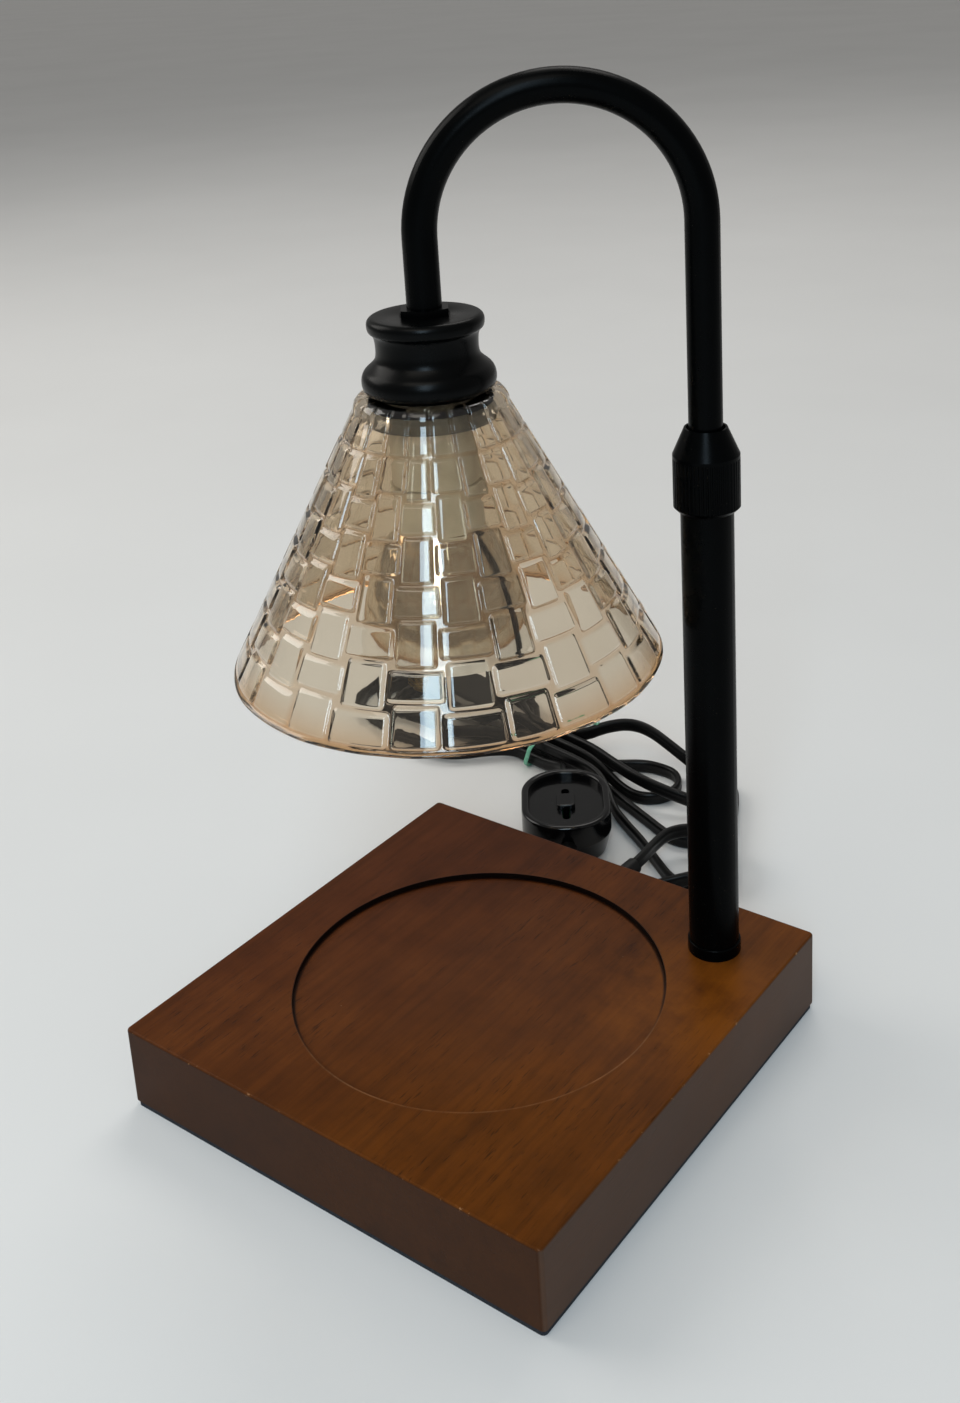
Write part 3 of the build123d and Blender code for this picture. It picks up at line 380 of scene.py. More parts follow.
# %% shade relief
def one_tile_rise(angle, height, column, row):
    """Rise of a tile: a smooth step by the distance inside its outline, times its height, crown and tilt."""
    band = row >= TILE_ROWS
    tall = (column + row) % 2 == 0
    half = np.where(band, BAND_HALF, np.where(tall, TALL_HALF, WIDE_HALF))
    reach = np.where(tall, WEAVE, -WEAVE)
    low = FIRST_Z + row * ROW + GROOVE / 2 - np.where((row > 0) & ~band, reach, 0)
    high = FIRST_Z + (row + 1) * ROW - GROOVE / 2 + np.where(row < TILE_ROWS - 1, reach, 0)
    high = np.where(band, SHOULDER_Z + 1.0, high)
    radius = over_radius(height)
    half_wide, half_high = half * radius, (high - low) / 2 * slant
    across = (angle - column * STEP) * radius
    along = (height - (low + high) / 2) * slant
    corner = 0.5 + 1.0 * radius / RIM_R
    beyond_x, beyond_z = np.abs(across) - half_wide + corner, np.abs(along) - half_high + corner
    outside = np.hypot(np.maximum(beyond_x, 0), np.maximum(beyond_z, 0))
    inside = corner - outside - np.minimum(np.maximum(beyond_x, beyond_z), 0)
    step = ramp(inside / (0.6 + 0.5 * radius / RIM_R))
    crown = CROWN * (1 - (across / half_wide) ** 2) + CROWN * (1 - (along / half_high) ** 2)
    name = column % TILE_COLUMNS
    tilt = TILT * (scatter(name, row, 2) - 0.5) * across / half_wide
    tilt = tilt + TILT * (scatter(name, row, 3) - 0.5) * along / half_high
    rise = step * (TILE_RISE + UNEVEN * scatter(name, row, 1) + crown + tilt)
    return np.where((row >= 0) & (row <= TILE_ROWS), rise, 0.0)


def tile_rise(angle, height):
    """The highest of the tile in the nearest cell and its four neighbours."""
    column = np.round(angle / STEP)
    row = np.minimum(np.floor((height - FIRST_Z) / ROW + 1e-9), TILE_ROWS)
    neighbours = [(0, 0), (1, 0), (-1, 0), (0, 1), (0, -1)]
    return np.max([one_tile_rise(angle, height, column + c, row + r) for c, r in neighbours], axis=0)


RIM_ROUND, SCALLOP = 0.9, 0.12
half_lines = np.array([1.0, 3.0, 4.4, 5.0, 5.4, 5.8, 6.2, 6.6, 7.0])
column_lines = np.radians(np.concatenate([[-7.5], -half_lines[::-1], half_lines]))
angles = (np.arange(TILE_COLUMNS)[:, None] * STEP + column_lines[None, :]).ravel()
low_lines = [0, 0.35, 0.7, 1.05, 1.4, 1.75, 2.1, 2.5, 3.1, 4.1]
row_lines = np.array(low_lines + [5.5, 6.5, 7.1, 7.5, 7.85, 8.2, 8.55, 8.9, 9.27])
tile_heights = (FIRST_Z + np.arange(TILE_ROWS)[:, None] * ROW + row_lines[None, :]).ravel()
band_heights = BAND_Z + np.array([0, 0.35, 0.7, 1.05, 1.4, 2.0, 3.5, 5.2, 6.6, 7.5])
heights = np.concatenate([np.linspace(RIM_Z + RIM_ROUND, FIRST_Z - 0.15, 5), tile_heights, band_heights])
height_grid, angle_grid = np.meshgrid(heights, angles, indexing="ij")
rise_grid = tile_rise(angle_grid, height_grid)
bead = ramp((FIRST_Z - height_grid) / 0.7)
outside_r = over_radius(height_grid) - PROUD + rise_grid
outside_r += bead * (BEAD_R - SCALLOP + SCALLOP * np.cos(TILE_COLUMNS / 2 * angle_grid) - outside_r)
print("shade outside grid:", outside_r.shape, "rise in mm up to", round(float(rise_grid.max()), 2))


# %% shade surface
def turned(radius, height, turn):
    """Points turned about the shade's axis: axis + radius * (cosine, sine) of the turn, at their height."""
    x, y = SHADE_X + radius * np.cos(turn), SHADE_Y + radius * np.sin(turn)
    return MM * np.stack([x, y, height + 0 * x], axis=-1)


SHOULDER_ROUND, SEAT_R, HOLE_R, RIM_DROP, RIM_WAVE = 3.4, 15.6, 13.9, 0.8, 0.1
ones = np.ones(len(angles))
round_off = np.linspace(0, np.pi / 2, 7)[1:, None]
shoulder_r = outside_r[-1] - SHOULDER_ROUND * (1 - np.cos(round_off))
shoulder_z = (SHOULDER_Z + (TOP_Z - SHOULDER_Z) * np.sin(round_off)) * ones
hole_r = np.array([[SEAT_R], [HOLE_R], [HOLE_R]]) * ones
hole_z = np.array([[TOP_Z], [TOP_Z - 0.4], [TOP_Z - WALL]]) * ones
inner_z = np.linspace(TOP_Z - WALL, RIM_Z + RIM_ROUND, 12)[:, None] * ones
inner_r = over_radius(inner_z) - WALL * slant
round_rim = np.linspace(0, np.pi, 9)[1:-1, None]
rim_middle, rim_half = (outside_r[0] + inner_r[-1]) / 2, (outside_r[0] - inner_r[-1]) / 2
rim_r = rim_middle - rim_half * np.cos(round_rim)
rim_fall = RIM_DROP + RIM_WAVE * np.cos(angles * TILE_COLUMNS)
rim_z = RIM_Z + RIM_ROUND - rim_fall * np.sin(round_rim)
all_r = np.concatenate([rim_r, outside_r, shoulder_r, hole_r, inner_r])
all_z = np.concatenate([rim_z, height_grid, shoulder_z, hole_z, inner_z])
shade_points = turned(all_r, all_z, angles[None, :])
shade_cells = grid_cells(*all_r.shape, round_rows=True)
glass_shade = mesh_piece("tiled_glass_shade", shade_points, shade_cells)
print("shade triangles:", 2 * len(glass_shade.data.polygons))

# %% shade depth
rim_near = np.exp(-(((all_z - RIM_Z) / 1.9) ** 2))
joint = np.zeros_like(all_r)
outside_rows = slice(len(rim_r), len(rim_r) + len(outside_r))
joint[outside_rows] = np.clip(1 - rise_grid / TILE_RISE, 0, 1) * (height_grid > FIRST_Z)
deep_share = np.clip(rim_near + 0.5 * joint, 0, 1)
depth = glass_shade.data.attributes.new("glass_depth", "FLOAT", "POINT")
depth.data.foreach_set("value", deep_share.ravel())
print("deep share of the glass, on average:", round(float(deep_share.mean()), 3))

# %% [markdown]
# ## The cap over the shade
# The cap is spun metal: a flat disc with a rounded rim, a waist drawn in below it and a full bulge
# that sits on the glass, all in one flowing line. Its outline is a smooth line pulled towards a few
# points of radius and height, and the piece is that line turned about the shade's axis. The bore
# inside is plain. At a crisp edge two rings lie close together to hold it.

# %% cap
CAP_HIGH, CAP_WALL, CAP_BORE_R, ARM_HOLE_R = 21.7, 4.0, 12.7, 4.95
CRISP, CAP_COLUMNS = 0.1, 96
cap_foot = [(16.0, 0, 0.0), (18.85, 0, 1.0), (18.85, 0, 6.0)]
cap_waist = [(15.6, 0, 8.6), (14.3, 0, 10.4), (14.3, 0, 15.0), (15.0, 0, 17.2)]
cap_rim = [(16.35, 0, 18.0), (16.35, 0, 21.2), (14.9, 0, CAP_HIGH)]
cap_outline = smooth_line("cap_outline", MM * np.array(cap_foot + cap_waist + cap_rim))[:, [0, 2]] / MM
ceiling = CAP_HIGH - CAP_WALL
cap_hole = [(14.3, CAP_HIGH), (ARM_HOLE_R + CRISP, CAP_HIGH), (ARM_HOLE_R, CAP_HIGH - CRISP)]
cap_hole += [(ARM_HOLE_R, ceiling + CRISP), (ARM_HOLE_R + CRISP, ceiling)]
cap_bore = [(CAP_BORE_R - CRISP, ceiling), (CAP_BORE_R, ceiling - CRISP)]
cap_bore += [(CAP_BORE_R, CRISP), (CAP_BORE_R + CRISP, 0.0), (15.9, 0.0)]
cap_profile = np.vstack([cap_outline, cap_hole, cap_bore])
cap_turn = np.linspace(0, 2 * np.pi, CAP_COLUMNS, endpoint=False)[None, :]
cap_points = turned(cap_profile[:, :1], TOP_Z + cap_profile[:, 1:], cap_turn)
spun_cap = mesh_piece("spun_cap", cap_points, grid_cells(len(cap_profile), CAP_COLUMNS, round_rows=True))
print("cap radius in mm:", round(float(cap_outline[:, 0].max()), 2), "rings:", len(cap_profile))

# %% [markdown]
# ## Finishes
# Every finish is a small tree of nodes on the object's own coordinates, in metres, so a noise of
# scale 1000 has features of about a millimetre. One helper adds a node and wires it. Numbers that are
# the same all over a piece are set on the shader itself.


# %% finish helpers
def add(tree, kind, wires=(), **settings):
    """One shader node: settings are its properties, wires are pairs of an input and a value or a socket."""
    node = tree.nodes.new("ShaderNode" + kind)
    for key, value in settings.items():
        setattr(node, key, value)
    for name, value in wires:
        if isinstance(value, bpy.types.NodeSocket):
            tree.links.new(value, node.inputs[name])
        else:
            node.inputs[name].default_value = value
    return node


def new_finish(name, sockets):
    """A material with its shader's sockets set; gives it, its tree, its shader and object coordinates."""
    material = bpy.data.materials.new(name)
    material.use_nodes = True
    tree = material.node_tree
    shader = tree.nodes["Principled BSDF"]
    for key, value in sockets.items():
        shader.inputs[key].default_value = value
    place = add(tree, "TexCoord").outputs["Object"]
    return material, tree, shader, place


def stretched(tree, place, scale):
    """Coordinates scaled by a vector, so that a pattern is drawn out along an axis."""
    return add(tree, "Mapping", [("Vector", place), ("Scale", scale)]).outputs["Vector"]


def noise(tree, place, scale, detail=4.0, roughness=0.55):
    """Soft noise from 0 to 1."""
    wires = [("Vector", place), ("Scale", scale), ("Detail", detail), ("Roughness", roughness)]
    return add(tree, "TexNoise", wires).outputs["Fac"]


def colours(tree, value, stops):
    """A colour ramp with (place, colour) stops."""
    ramp_node = add(tree, "ValToRGB", [("Fac", value)])
    elements = ramp_node.color_ramp.elements
    while len(elements) < len(stops):
        elements.new(0.5)
    for element, (at, colour) in zip(elements, stops):
        element.position = at
        element.color = (*colour, 1.0)
    return ramp_node.outputs["Color"]


def spread(tree, value, low, high, to_low=0.0, to_high=1.0):
    """A value's range from low to high taken to another range, and held at its ends."""
    wires = [("Value", value), ("From Min", low), ("From Max", high), ("To Min", to_low), ("To Max", to_high)]
    return add(tree, "MapRange", wires).outputs["Result"]


def sums(tree, operation, first, second):
    """One arithmetic step on two values."""
    return add(tree, "Math", [(0, first), (1, second)], operation=operation).outputs[0]


def product(tree, first, second):
    """Two values multiplied."""
    return sums(tree, "MULTIPLY", first, second)


def size_of(tree, value):
    """A value without its sign."""
    return sums(tree, "ABSOLUTE", value, 0.0)


def between(tree, value, rise, fall):
    """1 where a value is past its rise and not yet at its fall, each given as two ends."""
    return product(tree, spread(tree, value, *rise), spread(tree, value, *fall))


def mixed(tree, amount, first, second):
    """Two colours mixed by an amount."""
    wires = [("Factor", amount), (6, first), (7, second)]
    return add(tree, "Mix", wires, data_type="RGBA").outputs[2]


def coat(tree, shader, colour, roughness=None):
    """Colour, and roughness where it varies, wired to the shader."""
    tree.links.new(colour, shader.inputs["Base Color"])
    if roughness is not None:
        tree.links.new(roughness, shader.inputs["Roughness"])


def dent(tree, shader, height, strength, distance):
    """A bump on the shader from a height."""
    bump = add(tree, "Bump", [("Height", height), ("Strength", strength), ("Distance", distance)])
    tree.links.new(bump.outputs["Normal"], shader.inputs["Normal"])


def dress(material, *names):
    """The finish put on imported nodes."""
    for name in names:
        nodes[name].data.materials.clear()
        nodes[name].data.materials.append(material)


# %% [markdown]
# ## Stained wood
# The base is a board with a dark red-brown stain under a thin satin lacquer. Its grain runs along Y
# and is calm: broad soft tones, a few dark lines, and short fine pores in patches. The stain is
# redder at one side and more orange at the other, and darker in the middle of the recess. A brighter
# orange spot in front of the post is a painted reflection of the post. The recess wall and the far
# edge of its floor are painted shade. The upright faces are greyer, and those along X are painted
# lighter, as a lit side. Pale specks and chipped edges come last, and a pale line on the near half of
# the recess lip is a painted highlight. All of it is noise, drawn out along the grain where it
# belongs to the wood, and masks from the distance to the middle and to the edges.

# %% wood tones
wood, tree, shader, place = new_finish("stained_wood", {"Specular IOR Level": 0.06})
streaks = noise(tree, stretched(tree, place, (1.0, 0.05, 1.0)), 170.0, 6.0, 0.6)
figure = noise(tree, stretched(tree, place, (1.0, 0.2, 1.0)), 36.0, 4.0, 0.6)
mottle = noise(tree, place, 48.0, 6.0, 0.62)
grain = sums(tree, "ADD", product(tree, streaks, 0.26), product(tree, figure, 0.36))
grain = sums(tree, "ADD", grain, product(tree, mottle, 0.38))
red_stops = [(0.3, (0.036, 0.0105, 0.0036)), (0.5, (0.074, 0.0205, 0.006)), (0.7, (0.104, 0.03, 0.009))]
orange_stops = [(0.3, (0.05, 0.0145, 0.002)), (0.5, (0.11, 0.031, 0.0032)), (0.7, (0.155, 0.046, 0.005))]
parts = add(tree, "SeparateXYZ", [("Vector", place)]).outputs
across_base = sums(tree, "SUBTRACT", parts["X"], product(tree, parts["Y"], 0.5))
uneven_side = sums(tree, "ADD", across_base, product(tree, mottle, 0.06))
towards_front = spread(tree, uneven_side, -0.03, 0.09)
wood_colour = mixed(tree, towards_front, colours(tree, grain, red_stops), colours(tree, grain, orange_stops))
print("wood tones:", len(red_stops) + len(orange_stops))

# %% wood marks
dark_lines = spread(tree, noise(tree, stretched(tree, place, (1.0, 0.035, 1.0)), 75.0, 3.0, 0.5), 0.6, 0.7)
wood_colour = mixed(tree, product(tree, dark_lines, 0.45), wood_colour, (0.022, 0.007, 0.0025, 1.0))
fibres = spread(tree, noise(tree, stretched(tree, place, (1.0, 0.05, 1.0)), 640.0, 3.0, 0.6), 0.42, 0.66)
wood_colour = mixed(tree, product(tree, fibres, 0.3), wood_colour, (0.03, 0.0095, 0.003, 1.0))
pores = noise(tree, stretched(tree, place, (1.0, 0.1, 1.0)), 1500.0, 3.0, 0.5)
pore_patches = spread(tree, noise(tree, place, 26.0), 0.42, 0.6)
pore_mask = product(tree, spread(tree, pores, 0.31, 0.41, 1.0, 0.0), pore_patches)
wood_colour = mixed(tree, product(tree, pore_mask, 0.6), wood_colour, (0.012, 0.0045, 0.002, 1.0))
flat_place = add(tree, "CombineXYZ", [("X", parts["X"]), ("Y", parts["Y"])]).outputs["Vector"]
from_middle = add(tree, "VectorMath", [(0, flat_place)], operation="LENGTH").outputs["Value"]
patina = product(tree, spread(tree, from_middle, 0.056, 0.03), spread(tree, figure, 0.42, 0.62))
wood_colour = mixed(tree, product(tree, patina, 0.3), wood_colour, (0.04, 0.016, 0.008, 1.0))
# Painted reflection: a brighter, more orange spot in front of the post, where the post shows in the lacquer.
POST_REFLECTION_SPOT = (0.062, 0.028, 0.0)
from_reflection_spot = add(tree, "VectorMath", [(0, flat_place), (1, POST_REFLECTION_SPOT)], operation="DISTANCE").outputs["Value"]
post_reflection = product(tree, spread(tree, from_reflection_spot, 0.038, 0.006), spread(tree, mottle, 0.35, 0.6))
wood_colour = mixed(tree, product(tree, post_reflection, 0.6), wood_colour, (0.2, 0.06, 0.005, 1.0))
specks = spread(tree, noise(tree, place, 950.0, 2.0, 0.5), 0.79, 0.83)
wood_colour = mixed(tree, product(tree, specks, 0.5), wood_colour, (0.3, 0.2, 0.12, 1.0))
normal_parts = add(tree, "SeparateXYZ", [("Vector", add(tree, "TexCoord").outputs["Normal"])]).outputs
upright = spread(tree, size_of(tree, normal_parts["Z"]), 0.75, 0.2)
# Painted light: faces along X get a lighter, greyer tone than faces along Y, as a lit side and a shaded side.
lit_side = spread(tree, size_of(tree, normal_parts["X"]), 0.3, 0.7)
lit_and_shaded_tone = mixed(tree, lit_side, (0.035, 0.0155, 0.0083, 1.0), (0.074, 0.047, 0.034, 1.0))
wood_colour = mixed(tree, product(tree, upright, 0.8), wood_colour, lit_and_shaded_tone)
# Painted shade: the recess's upright wall is made near-black.
recess_wall_shade = product(tree, upright, spread(tree, from_middle, 0.062, 0.06))
wood_colour = mixed(tree, product(tree, recess_wall_shade, 0.85), wood_colour, (0.006, 0.003, 0.002, 1.0))
print("wood nodes so far:", len(tree.nodes))

# %% wood wear, painted shade and highlight
outer = sums(tree, "MAXIMUM", size_of(tree, parts["X"]), size_of(tree, parts["Y"]))
near_edge = product(tree, spread(tree, outer, 0.0753, 0.0758), spread(tree, parts["Z"], 0.0262, 0.0268))
chips = product(tree, near_edge, spread(tree, noise(tree, place, 420.0, 4.0, 0.7), 0.62, 0.7))
recess_lip = between(tree, from_middle, (0.0571, 0.0574), (0.058, 0.0577))
front_half = sums(tree, "SUBTRACT", product(tree, parts["X"], 0.61), product(tree, parts["Y"], 0.79))
# Painted shadow: a dark line where the recess floor meets its wall, on the half away from the camera.
far_shadow_line = between(tree, from_middle, (0.0563, 0.0569), (0.0577, 0.0575))
far_shadow_line = product(tree, far_shadow_line, spread(tree, front_half, 0.045, 0.015))
wood_colour = mixed(tree, product(tree, far_shadow_line, 0.85), wood_colour, (0.004, 0.002, 0.0015, 1.0))
# Painted highlight: a pale line along the recess lip on the half towards the camera, broken by noise. The
# pale colour below serves both it and the real chipped edges.
near_lip_highlight = product(tree, recess_lip, spread(tree, front_half, 0.01, 0.04))
near_lip_highlight = product(tree, near_lip_highlight, spread(tree, noise(tree, place, 60.0, 4.0, 0.7), 0.3, 0.6))
wear_and_highlight = sums(tree, "MAXIMUM", product(tree, chips, 0.8), product(tree, near_lip_highlight, 0.3))
wood_colour = mixed(tree, wear_and_highlight, wood_colour, (0.34, 0.17, 0.075, 1.0))
smudge = spread(tree, noise(tree, place, 22.0, 4.0, 0.6), 0.3, 0.7, 0.3, 0.42)
coat(tree, shader, wood_colour, smudge)
relief_height = sums(tree, "SUBTRACT", product(tree, streaks, 0.35), product(tree, pore_mask, 0.8))
dent(tree, shader, relief_height, 0.16, 0.0003)
dress(wood, "base_block")
print("wood nodes:", len(tree.nodes))

# %% [markdown]
# ## Satin black paint
# The tubes, collar and cap carry a satin black powder coat. Such a coat is never quite smooth: it has
# a very fine orange-peel texture, and handling leaves it a little glossier in patches. The tubes are
# very dark, and the cap has a stronger sheen that shows the soft light as a broad gleam, so one
# function makes both.


# %% black paint
def black_paint(name, specular, rough_low, rough_high):
    """Powder coat: near-black film in two tones, gloss that wanders between two values, and a fine peel."""
    material, tree, shader, place = new_finish(name, {"Specular IOR Level": specular})
    film_stops = [(0.3, (0.0003, 0.0005, 0.0006)), (0.7, (0.0006, 0.0009, 0.001))]
    gloss = spread(tree, noise(tree, place, 85.0, 5.0, 0.65), 0.3, 0.7, rough_low, rough_high)
    coat(tree, shader, colours(tree, noise(tree, place, 60.0, 4.0), film_stops), gloss)
    dent(tree, shader, noise(tree, place, 1900.0, 2.0), 0.1, 0.0001)
    return material


tube_paint = black_paint("satin_black_paint", 0.042, 0.24, 0.32)
cap_paint = black_paint("satin_black_cap", 0.085, 0.25, 0.32)
dress(tube_paint, "post_tube", "post_foot_ring", "lock_collar", "arm_tube")
dress(cap_paint, "cap_nut")
spun_cap.data.materials.append(cap_paint)
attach(spun_cap, "arm")
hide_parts("shade_cap")
print("paint nodes:", len(tube_paint.node_tree.nodes))

# %% [markdown]
# ## Amber lustre glass
# The glass is clear with a thin champagne lustre, so it both lets light through and mirrors more of
# it than plain glass. Its colour is weak in a wall and strong along an edge, where light runs through
# more of it. A low index keeps what shows through it calm, a clear coat gives the mirror, and faint
# ripples come from the mould.

# %% amber glass
glass_sockets = {
    "Base Color": (0.795, 0.745, 0.645, 1.0),
    "Transmission Weight": 1.0,
    "Roughness": 0.02,
    "IOR": 1.22,
    "Coat Weight": 1.0,
    "Coat IOR": 1.5,
    "Coat Roughness": 0.02,
    "Coat Tint": (1.0, 0.97, 0.93, 1.0),
}
amber, tree, shader, place = new_finish("amber_lustre_glass", glass_sockets)
tint_stops = [(0.35, (0.815, 0.765, 0.665)), (0.65, (0.775, 0.72, 0.62))]
tint = colours(tree, noise(tree, place, 45.0, 3.0), tint_stops)
deep = add(tree, "Attribute", attribute_name="glass_depth").outputs["Fac"]
tint = mixed(tree, product(tree, deep, 0.9), tint, (0.62, 0.31, 0.09, 1.0))
coat(tree, shader, tint)
dent(tree, shader, noise(tree, place, 160.0, 2.0), 0.08, 0.0006)
glass_shade.data.materials.append(amber)
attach(glass_shade, "arm")
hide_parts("glass_shade")
print("glass nodes:", len(tree.nodes))

# %% [markdown]
# ## Cord sheath and moulded plastic
# The cord's sheath is soft black vinyl with a low, uneven sheen, and the strain reliefs are the same.
# The dimmer and the plug are harder and glossier mouldings with a little dust on them.

# %% cord sheath
sheath, tree, shader, place = new_finish("cord_sheath", {"Specular IOR Level": 0.2})
sheath_stops = [(0.35, (0.0016, 0.0016, 0.0017)), (0.7, (0.0036, 0.0036, 0.0035))]
sheen = spread(tree, noise(tree, place, 95.0, 4.0), 0.3, 0.7, 0.3, 0.44)
coat(tree, shader, colours(tree, noise(tree, place, 140.0, 4.0), sheath_stops), sheen)
dent(tree, shader, noise(tree, place, 1300.0, 2.0), 0.06, 0.0001)
dress(sheath, "dimmer_reliefs", "cord_gland", "post_lead", "arm_lead")
print("sheath nodes:", len(tree.nodes))

# %% moulded plastic
moulding, tree, shader, place = new_finish("moulded_black_plastic", {"Specular IOR Level": 0.3})
dust = spread(tree, noise(tree, place, 900.0, 5.0, 0.7), 0.62, 0.75)
clean_black, dusty_grey = (0.0022, 0.0022, 0.0025, 1), (0.05, 0.048, 0.044, 1)
black = mixed(tree, product(tree, dust, 0.15), clean_black, dusty_grey)
coat(tree, shader, black, spread(tree, noise(tree, place, 70.0, 5.0, 0.7), 0.3, 0.7, 0.1, 0.2))
dent(tree, shader, noise(tree, place, 1500.0, 2.0), 0.05, 0.0001)
dress(moulding, "dimmer_lower_shell", "dimmer_upper_shell", "dimmer_slider", "plug_body")
print("plastic nodes:", len(tree.nodes))

# %% cord pieces
for piece, node in ((cord_lead, "cord_lead"), (cord_hank, "cord_hank")):
    piece.data.materials.append(sheath)
    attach(piece, "base")
    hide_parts(node)
dimmer_nodes = ["dimmer_lower_shell", "dimmer_upper_shell", "dimmer_board"]
dimmer_nodes += ["dimmer_slider", "dimmer_screws", "dimmer_reliefs"]
print("cords in m:", round(line_length(lead_line) + line_length(hank_line), 3))

# %% [markdown]
# ## The small finishes
# The pad is dense foam with a fine skin. The tie is mint green plastic, uneven in colour. Steel,
# brass, nylon, ceramic and the circuit board show only from below or close by, but each gets its own
# grain.

# %% pad and tie
foam, tree, shader, place = new_finish("pad_foam", {"Specular IOR Level": 0.3})
cells = add(tree, "TexVoronoi", [("Vector", place), ("Scale", 1400.0)]).outputs["Distance"]
foam_stops = [(0.1, (0.006, 0.008, 0.011)), (0.6, (0.018, 0.024, 0.032))]
foam_dull = spread(tree, noise(tree, place, 300.0), 0.3, 0.7, 0.7, 0.9)
coat(tree, shader, colours(tree, cells, foam_stops), foam_dull)
dent(tree, shader, cells, 0.4, 0.0002)
dress(foam, "base_pad")

mint, tree, shader, place = new_finish("mint_tie", {"Specular IOR Level": 0.45})
mint_stops = [(0.3, (0.085, 0.33, 0.2)), (0.7, (0.2, 0.52, 0.36))]
mint_sheen = spread(tree, noise(tree, place, 800.0), 0.3, 0.7, 0.35, 0.55)
coat(tree, shader, colours(tree, noise(tree, place, 520.0, 4.0), mint_stops), mint_sheen)
dent(tree, shader, noise(tree, place, 1700.0, 2.0), 0.1, 0.0001)
wire_tie.data.materials.append(mint)
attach(wire_tie, "base")
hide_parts("cord_tie")
print("pad and tie dressed")


# %% metals
def metal_finish(name, dark, pale, rough_low, rough_high, draw):
    """Bare metal: two tones, roughness from noise drawn out along an axis, and fine lines."""
    material, tree, shader, place = new_finish(name, {"Metallic": 1.0})
    lines = noise(tree, stretched(tree, place, draw), 900.0, 4.0, 0.6)
    tone = colours(tree, noise(tree, place, 160.0, 4.0), [(0.3, dark), (0.7, pale)])
    coat(tree, shader, tone, spread(tree, lines, 0.3, 0.7, rough_low, rough_high))
    dent(tree, shader, lines, 0.08, 0.0001)
    return material


steel = metal_finish("zinc_steel", (0.4, 0.4, 0.41), (0.6, 0.6, 0.6), 0.22, 0.4, (1.0, 1.0, 0.1))
brass = metal_finish("plug_brass", (0.5, 0.33, 0.12), (0.75, 0.55, 0.26), 0.18, 0.34, (0.1, 1.0, 1.0))
mirror = metal_finish("mirror_coat", (0.72, 0.7, 0.66), (0.88, 0.86, 0.82), 0.05, 0.12, (1.0, 1.0, 1.0))
dress(steel, "post_stud", "stud_washer", "stud_nut", "post_foot_plug", "arm_end_stop", "arm_clip")
dress(steel, "cap_inner_nut", "socket_bracket", "socket_screws", "bulb_pins", "dimmer_screws")
dress(brass, "plug_blades", "socket_contacts")
dress(mirror, "bulb_reflector")
print("metals made")


# %% pale mouldings
def moulded_finish(name, dark, pale, rough_low, rough_high, scale):
    """A pale moulded or fired surface: two close tones, uneven gloss and a fine grain."""
    material, tree, shader, place = new_finish(name, {"Specular IOR Level": 0.5})
    tone = colours(tree, noise(tree, place, scale, 5.0), [(0.3, dark), (0.7, pale)])
    coat(tree, shader, tone, spread(tree, noise(tree, place, scale * 2.0), 0.3, 0.7, rough_low, rough_high))
    dent(tree, shader, noise(tree, place, scale * 9.0, 2.0), 0.08, 0.0001)
    return material


nylon = moulded_finish("nylon", (0.62, 0.6, 0.54), (0.74, 0.72, 0.67), 0.42, 0.6, 150.0)
ceramic = moulded_finish("fired_ceramic", (0.6, 0.57, 0.5), (0.74, 0.71, 0.64), 0.3, 0.5, 120.0)
board = moulded_finish("circuit_board", (0.015, 0.09, 0.035), (0.03, 0.16, 0.06), 0.3, 0.45, 260.0)
gasket = moulded_finish("grey_gasket", (0.1, 0.097, 0.088), (0.15, 0.145, 0.133), 0.5, 0.65, 140.0)
dress(nylon, "post_collet", "arm_glide")
dress(gasket, "shade_ring")
dress(ceramic, "lamp_socket", "bulb_base")
dress(board, "dimmer_board")
print("pale mouldings made")

# %% bulb glass
bulb_sockets = {"Transmission Weight": 1.0, "IOR": 1.5, "Roughness": 0.03}
bulb_glass, tree, shader, place = new_finish("bulb_glass", bulb_sockets)
facets = add(tree, "TexVoronoi", [("Vector", place), ("Scale", 330.0)]).outputs["Distance"]
coat(tree, shader, colours(tree, facets, [(0.0, (0.93, 0.93, 0.91)), (0.8, (0.98, 0.98, 0.97))]))
dent(tree, shader, facets, 0.35, 0.0008)
dress(bulb_glass, "bulb_lens", "bulb_capsule")
print("bulb glass nodes:", len(tree.nodes))

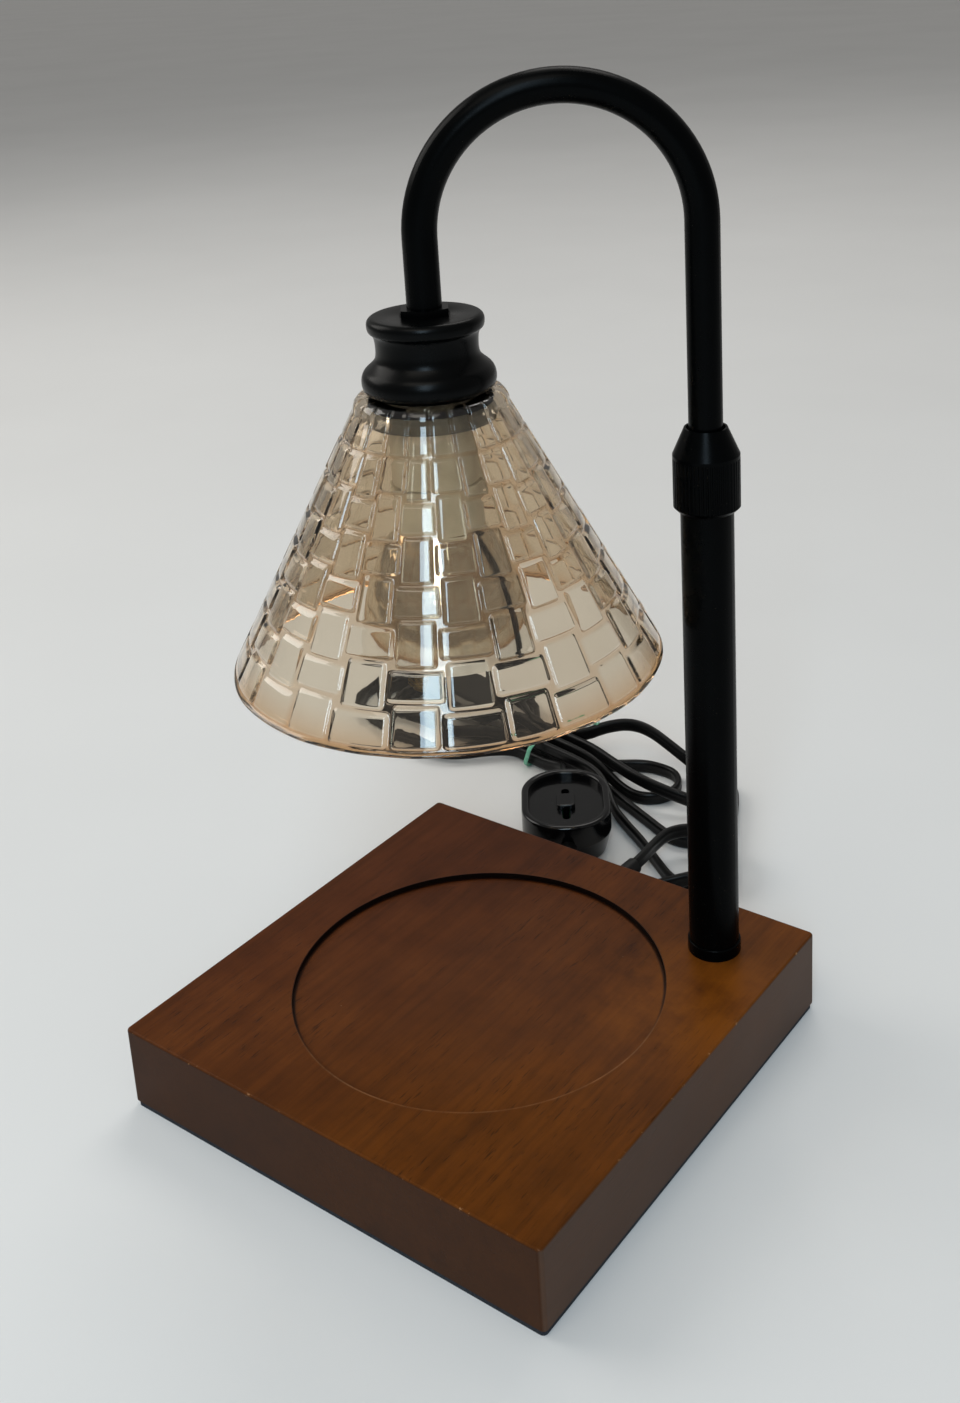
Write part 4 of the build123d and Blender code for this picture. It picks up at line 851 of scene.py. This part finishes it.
# %% [markdown]
# ## Floor and light
# A pale floor carries the shadow. Soft panels light the lamp: a cool narrow one in front, which draws
# the tall gleam down the glass, and warmer broad ones above, at the left and behind. With a pale
# surround they give a level at which a colour renders about as it is written.

# %% floor
FLOOR_HALF, FLOOR_LINES = 60, 9
span = np.linspace(-FLOOR_HALF, FLOOR_HALF, FLOOR_LINES)
floor_y, floor_x = np.meshgrid(span, span, indexing="ij")
floor_points = np.stack([floor_x, floor_y, 0 * floor_x], axis=-1)
floor = mesh_piece("floor", floor_points, grid_cells(FLOOR_LINES, FLOOR_LINES, False))
pale, tree, shader, place = new_finish("pale_floor", {"Roughness": 0.55, "Specular IOR Level": 0.3})
floor_stops = [(0.3, (0.665, 0.665, 0.66)), (0.7, (0.7, 0.7, 0.695))]
coat(tree, shader, colours(tree, noise(tree, place, 3.0), floor_stops))
floor.data.materials.append(pale)
print("floor laid")


# %% light
def soft_panel(name, place, target, size, power, colour=(1.0, 1.0, 1.0)):
    """A rectangular light at a place, facing a target."""
    lamp = bpy.data.lights.new(name, "AREA")
    lamp.shape = "RECTANGLE"
    lamp.size, lamp.size_y = size
    lamp.energy = power
    lamp.color = colour
    holder = bpy.data.objects.new(name, lamp)
    scene.collection.objects.link(holder)
    way = (Vector(target) - Vector(place)).normalized()
    holder.matrix_world = Matrix.Translation(place) @ way.to_track_quat("-Z", "Y").to_matrix().to_4x4()


soft_panel("front_panel", (0.75, -1.25, 1.2), (0, 0, 0.12), (0.45, 1.1), 16.5, (0.62, 0.83, 1.0))
soft_panel("top_panel", (0.2, -0.9, 1.9), (0, 0, 0.1), (1.4, 0.9), 9.0, (1.0, 0.94, 0.84))
soft_panel("left_panel", (-1.4, -0.3, 1.1), (0, 0, 0.1), (1.0, 1.0), 10.0, (1.0, 0.97, 0.92))
soft_panel("back_panel", (-0.5, 1.3, 1.9), (0, 0, 0.1), (1.2, 0.8), 11.0, (1.0, 0.97, 0.93))
world = bpy.data.worlds.new("studio")
world.use_nodes = True
surround = world.node_tree.nodes["Background"]
surround.inputs["Color"].default_value = (0.95, 0.935, 0.905, 1.0)
surround.inputs["Strength"].default_value = 0.34
scene.world = world
print("lights set")
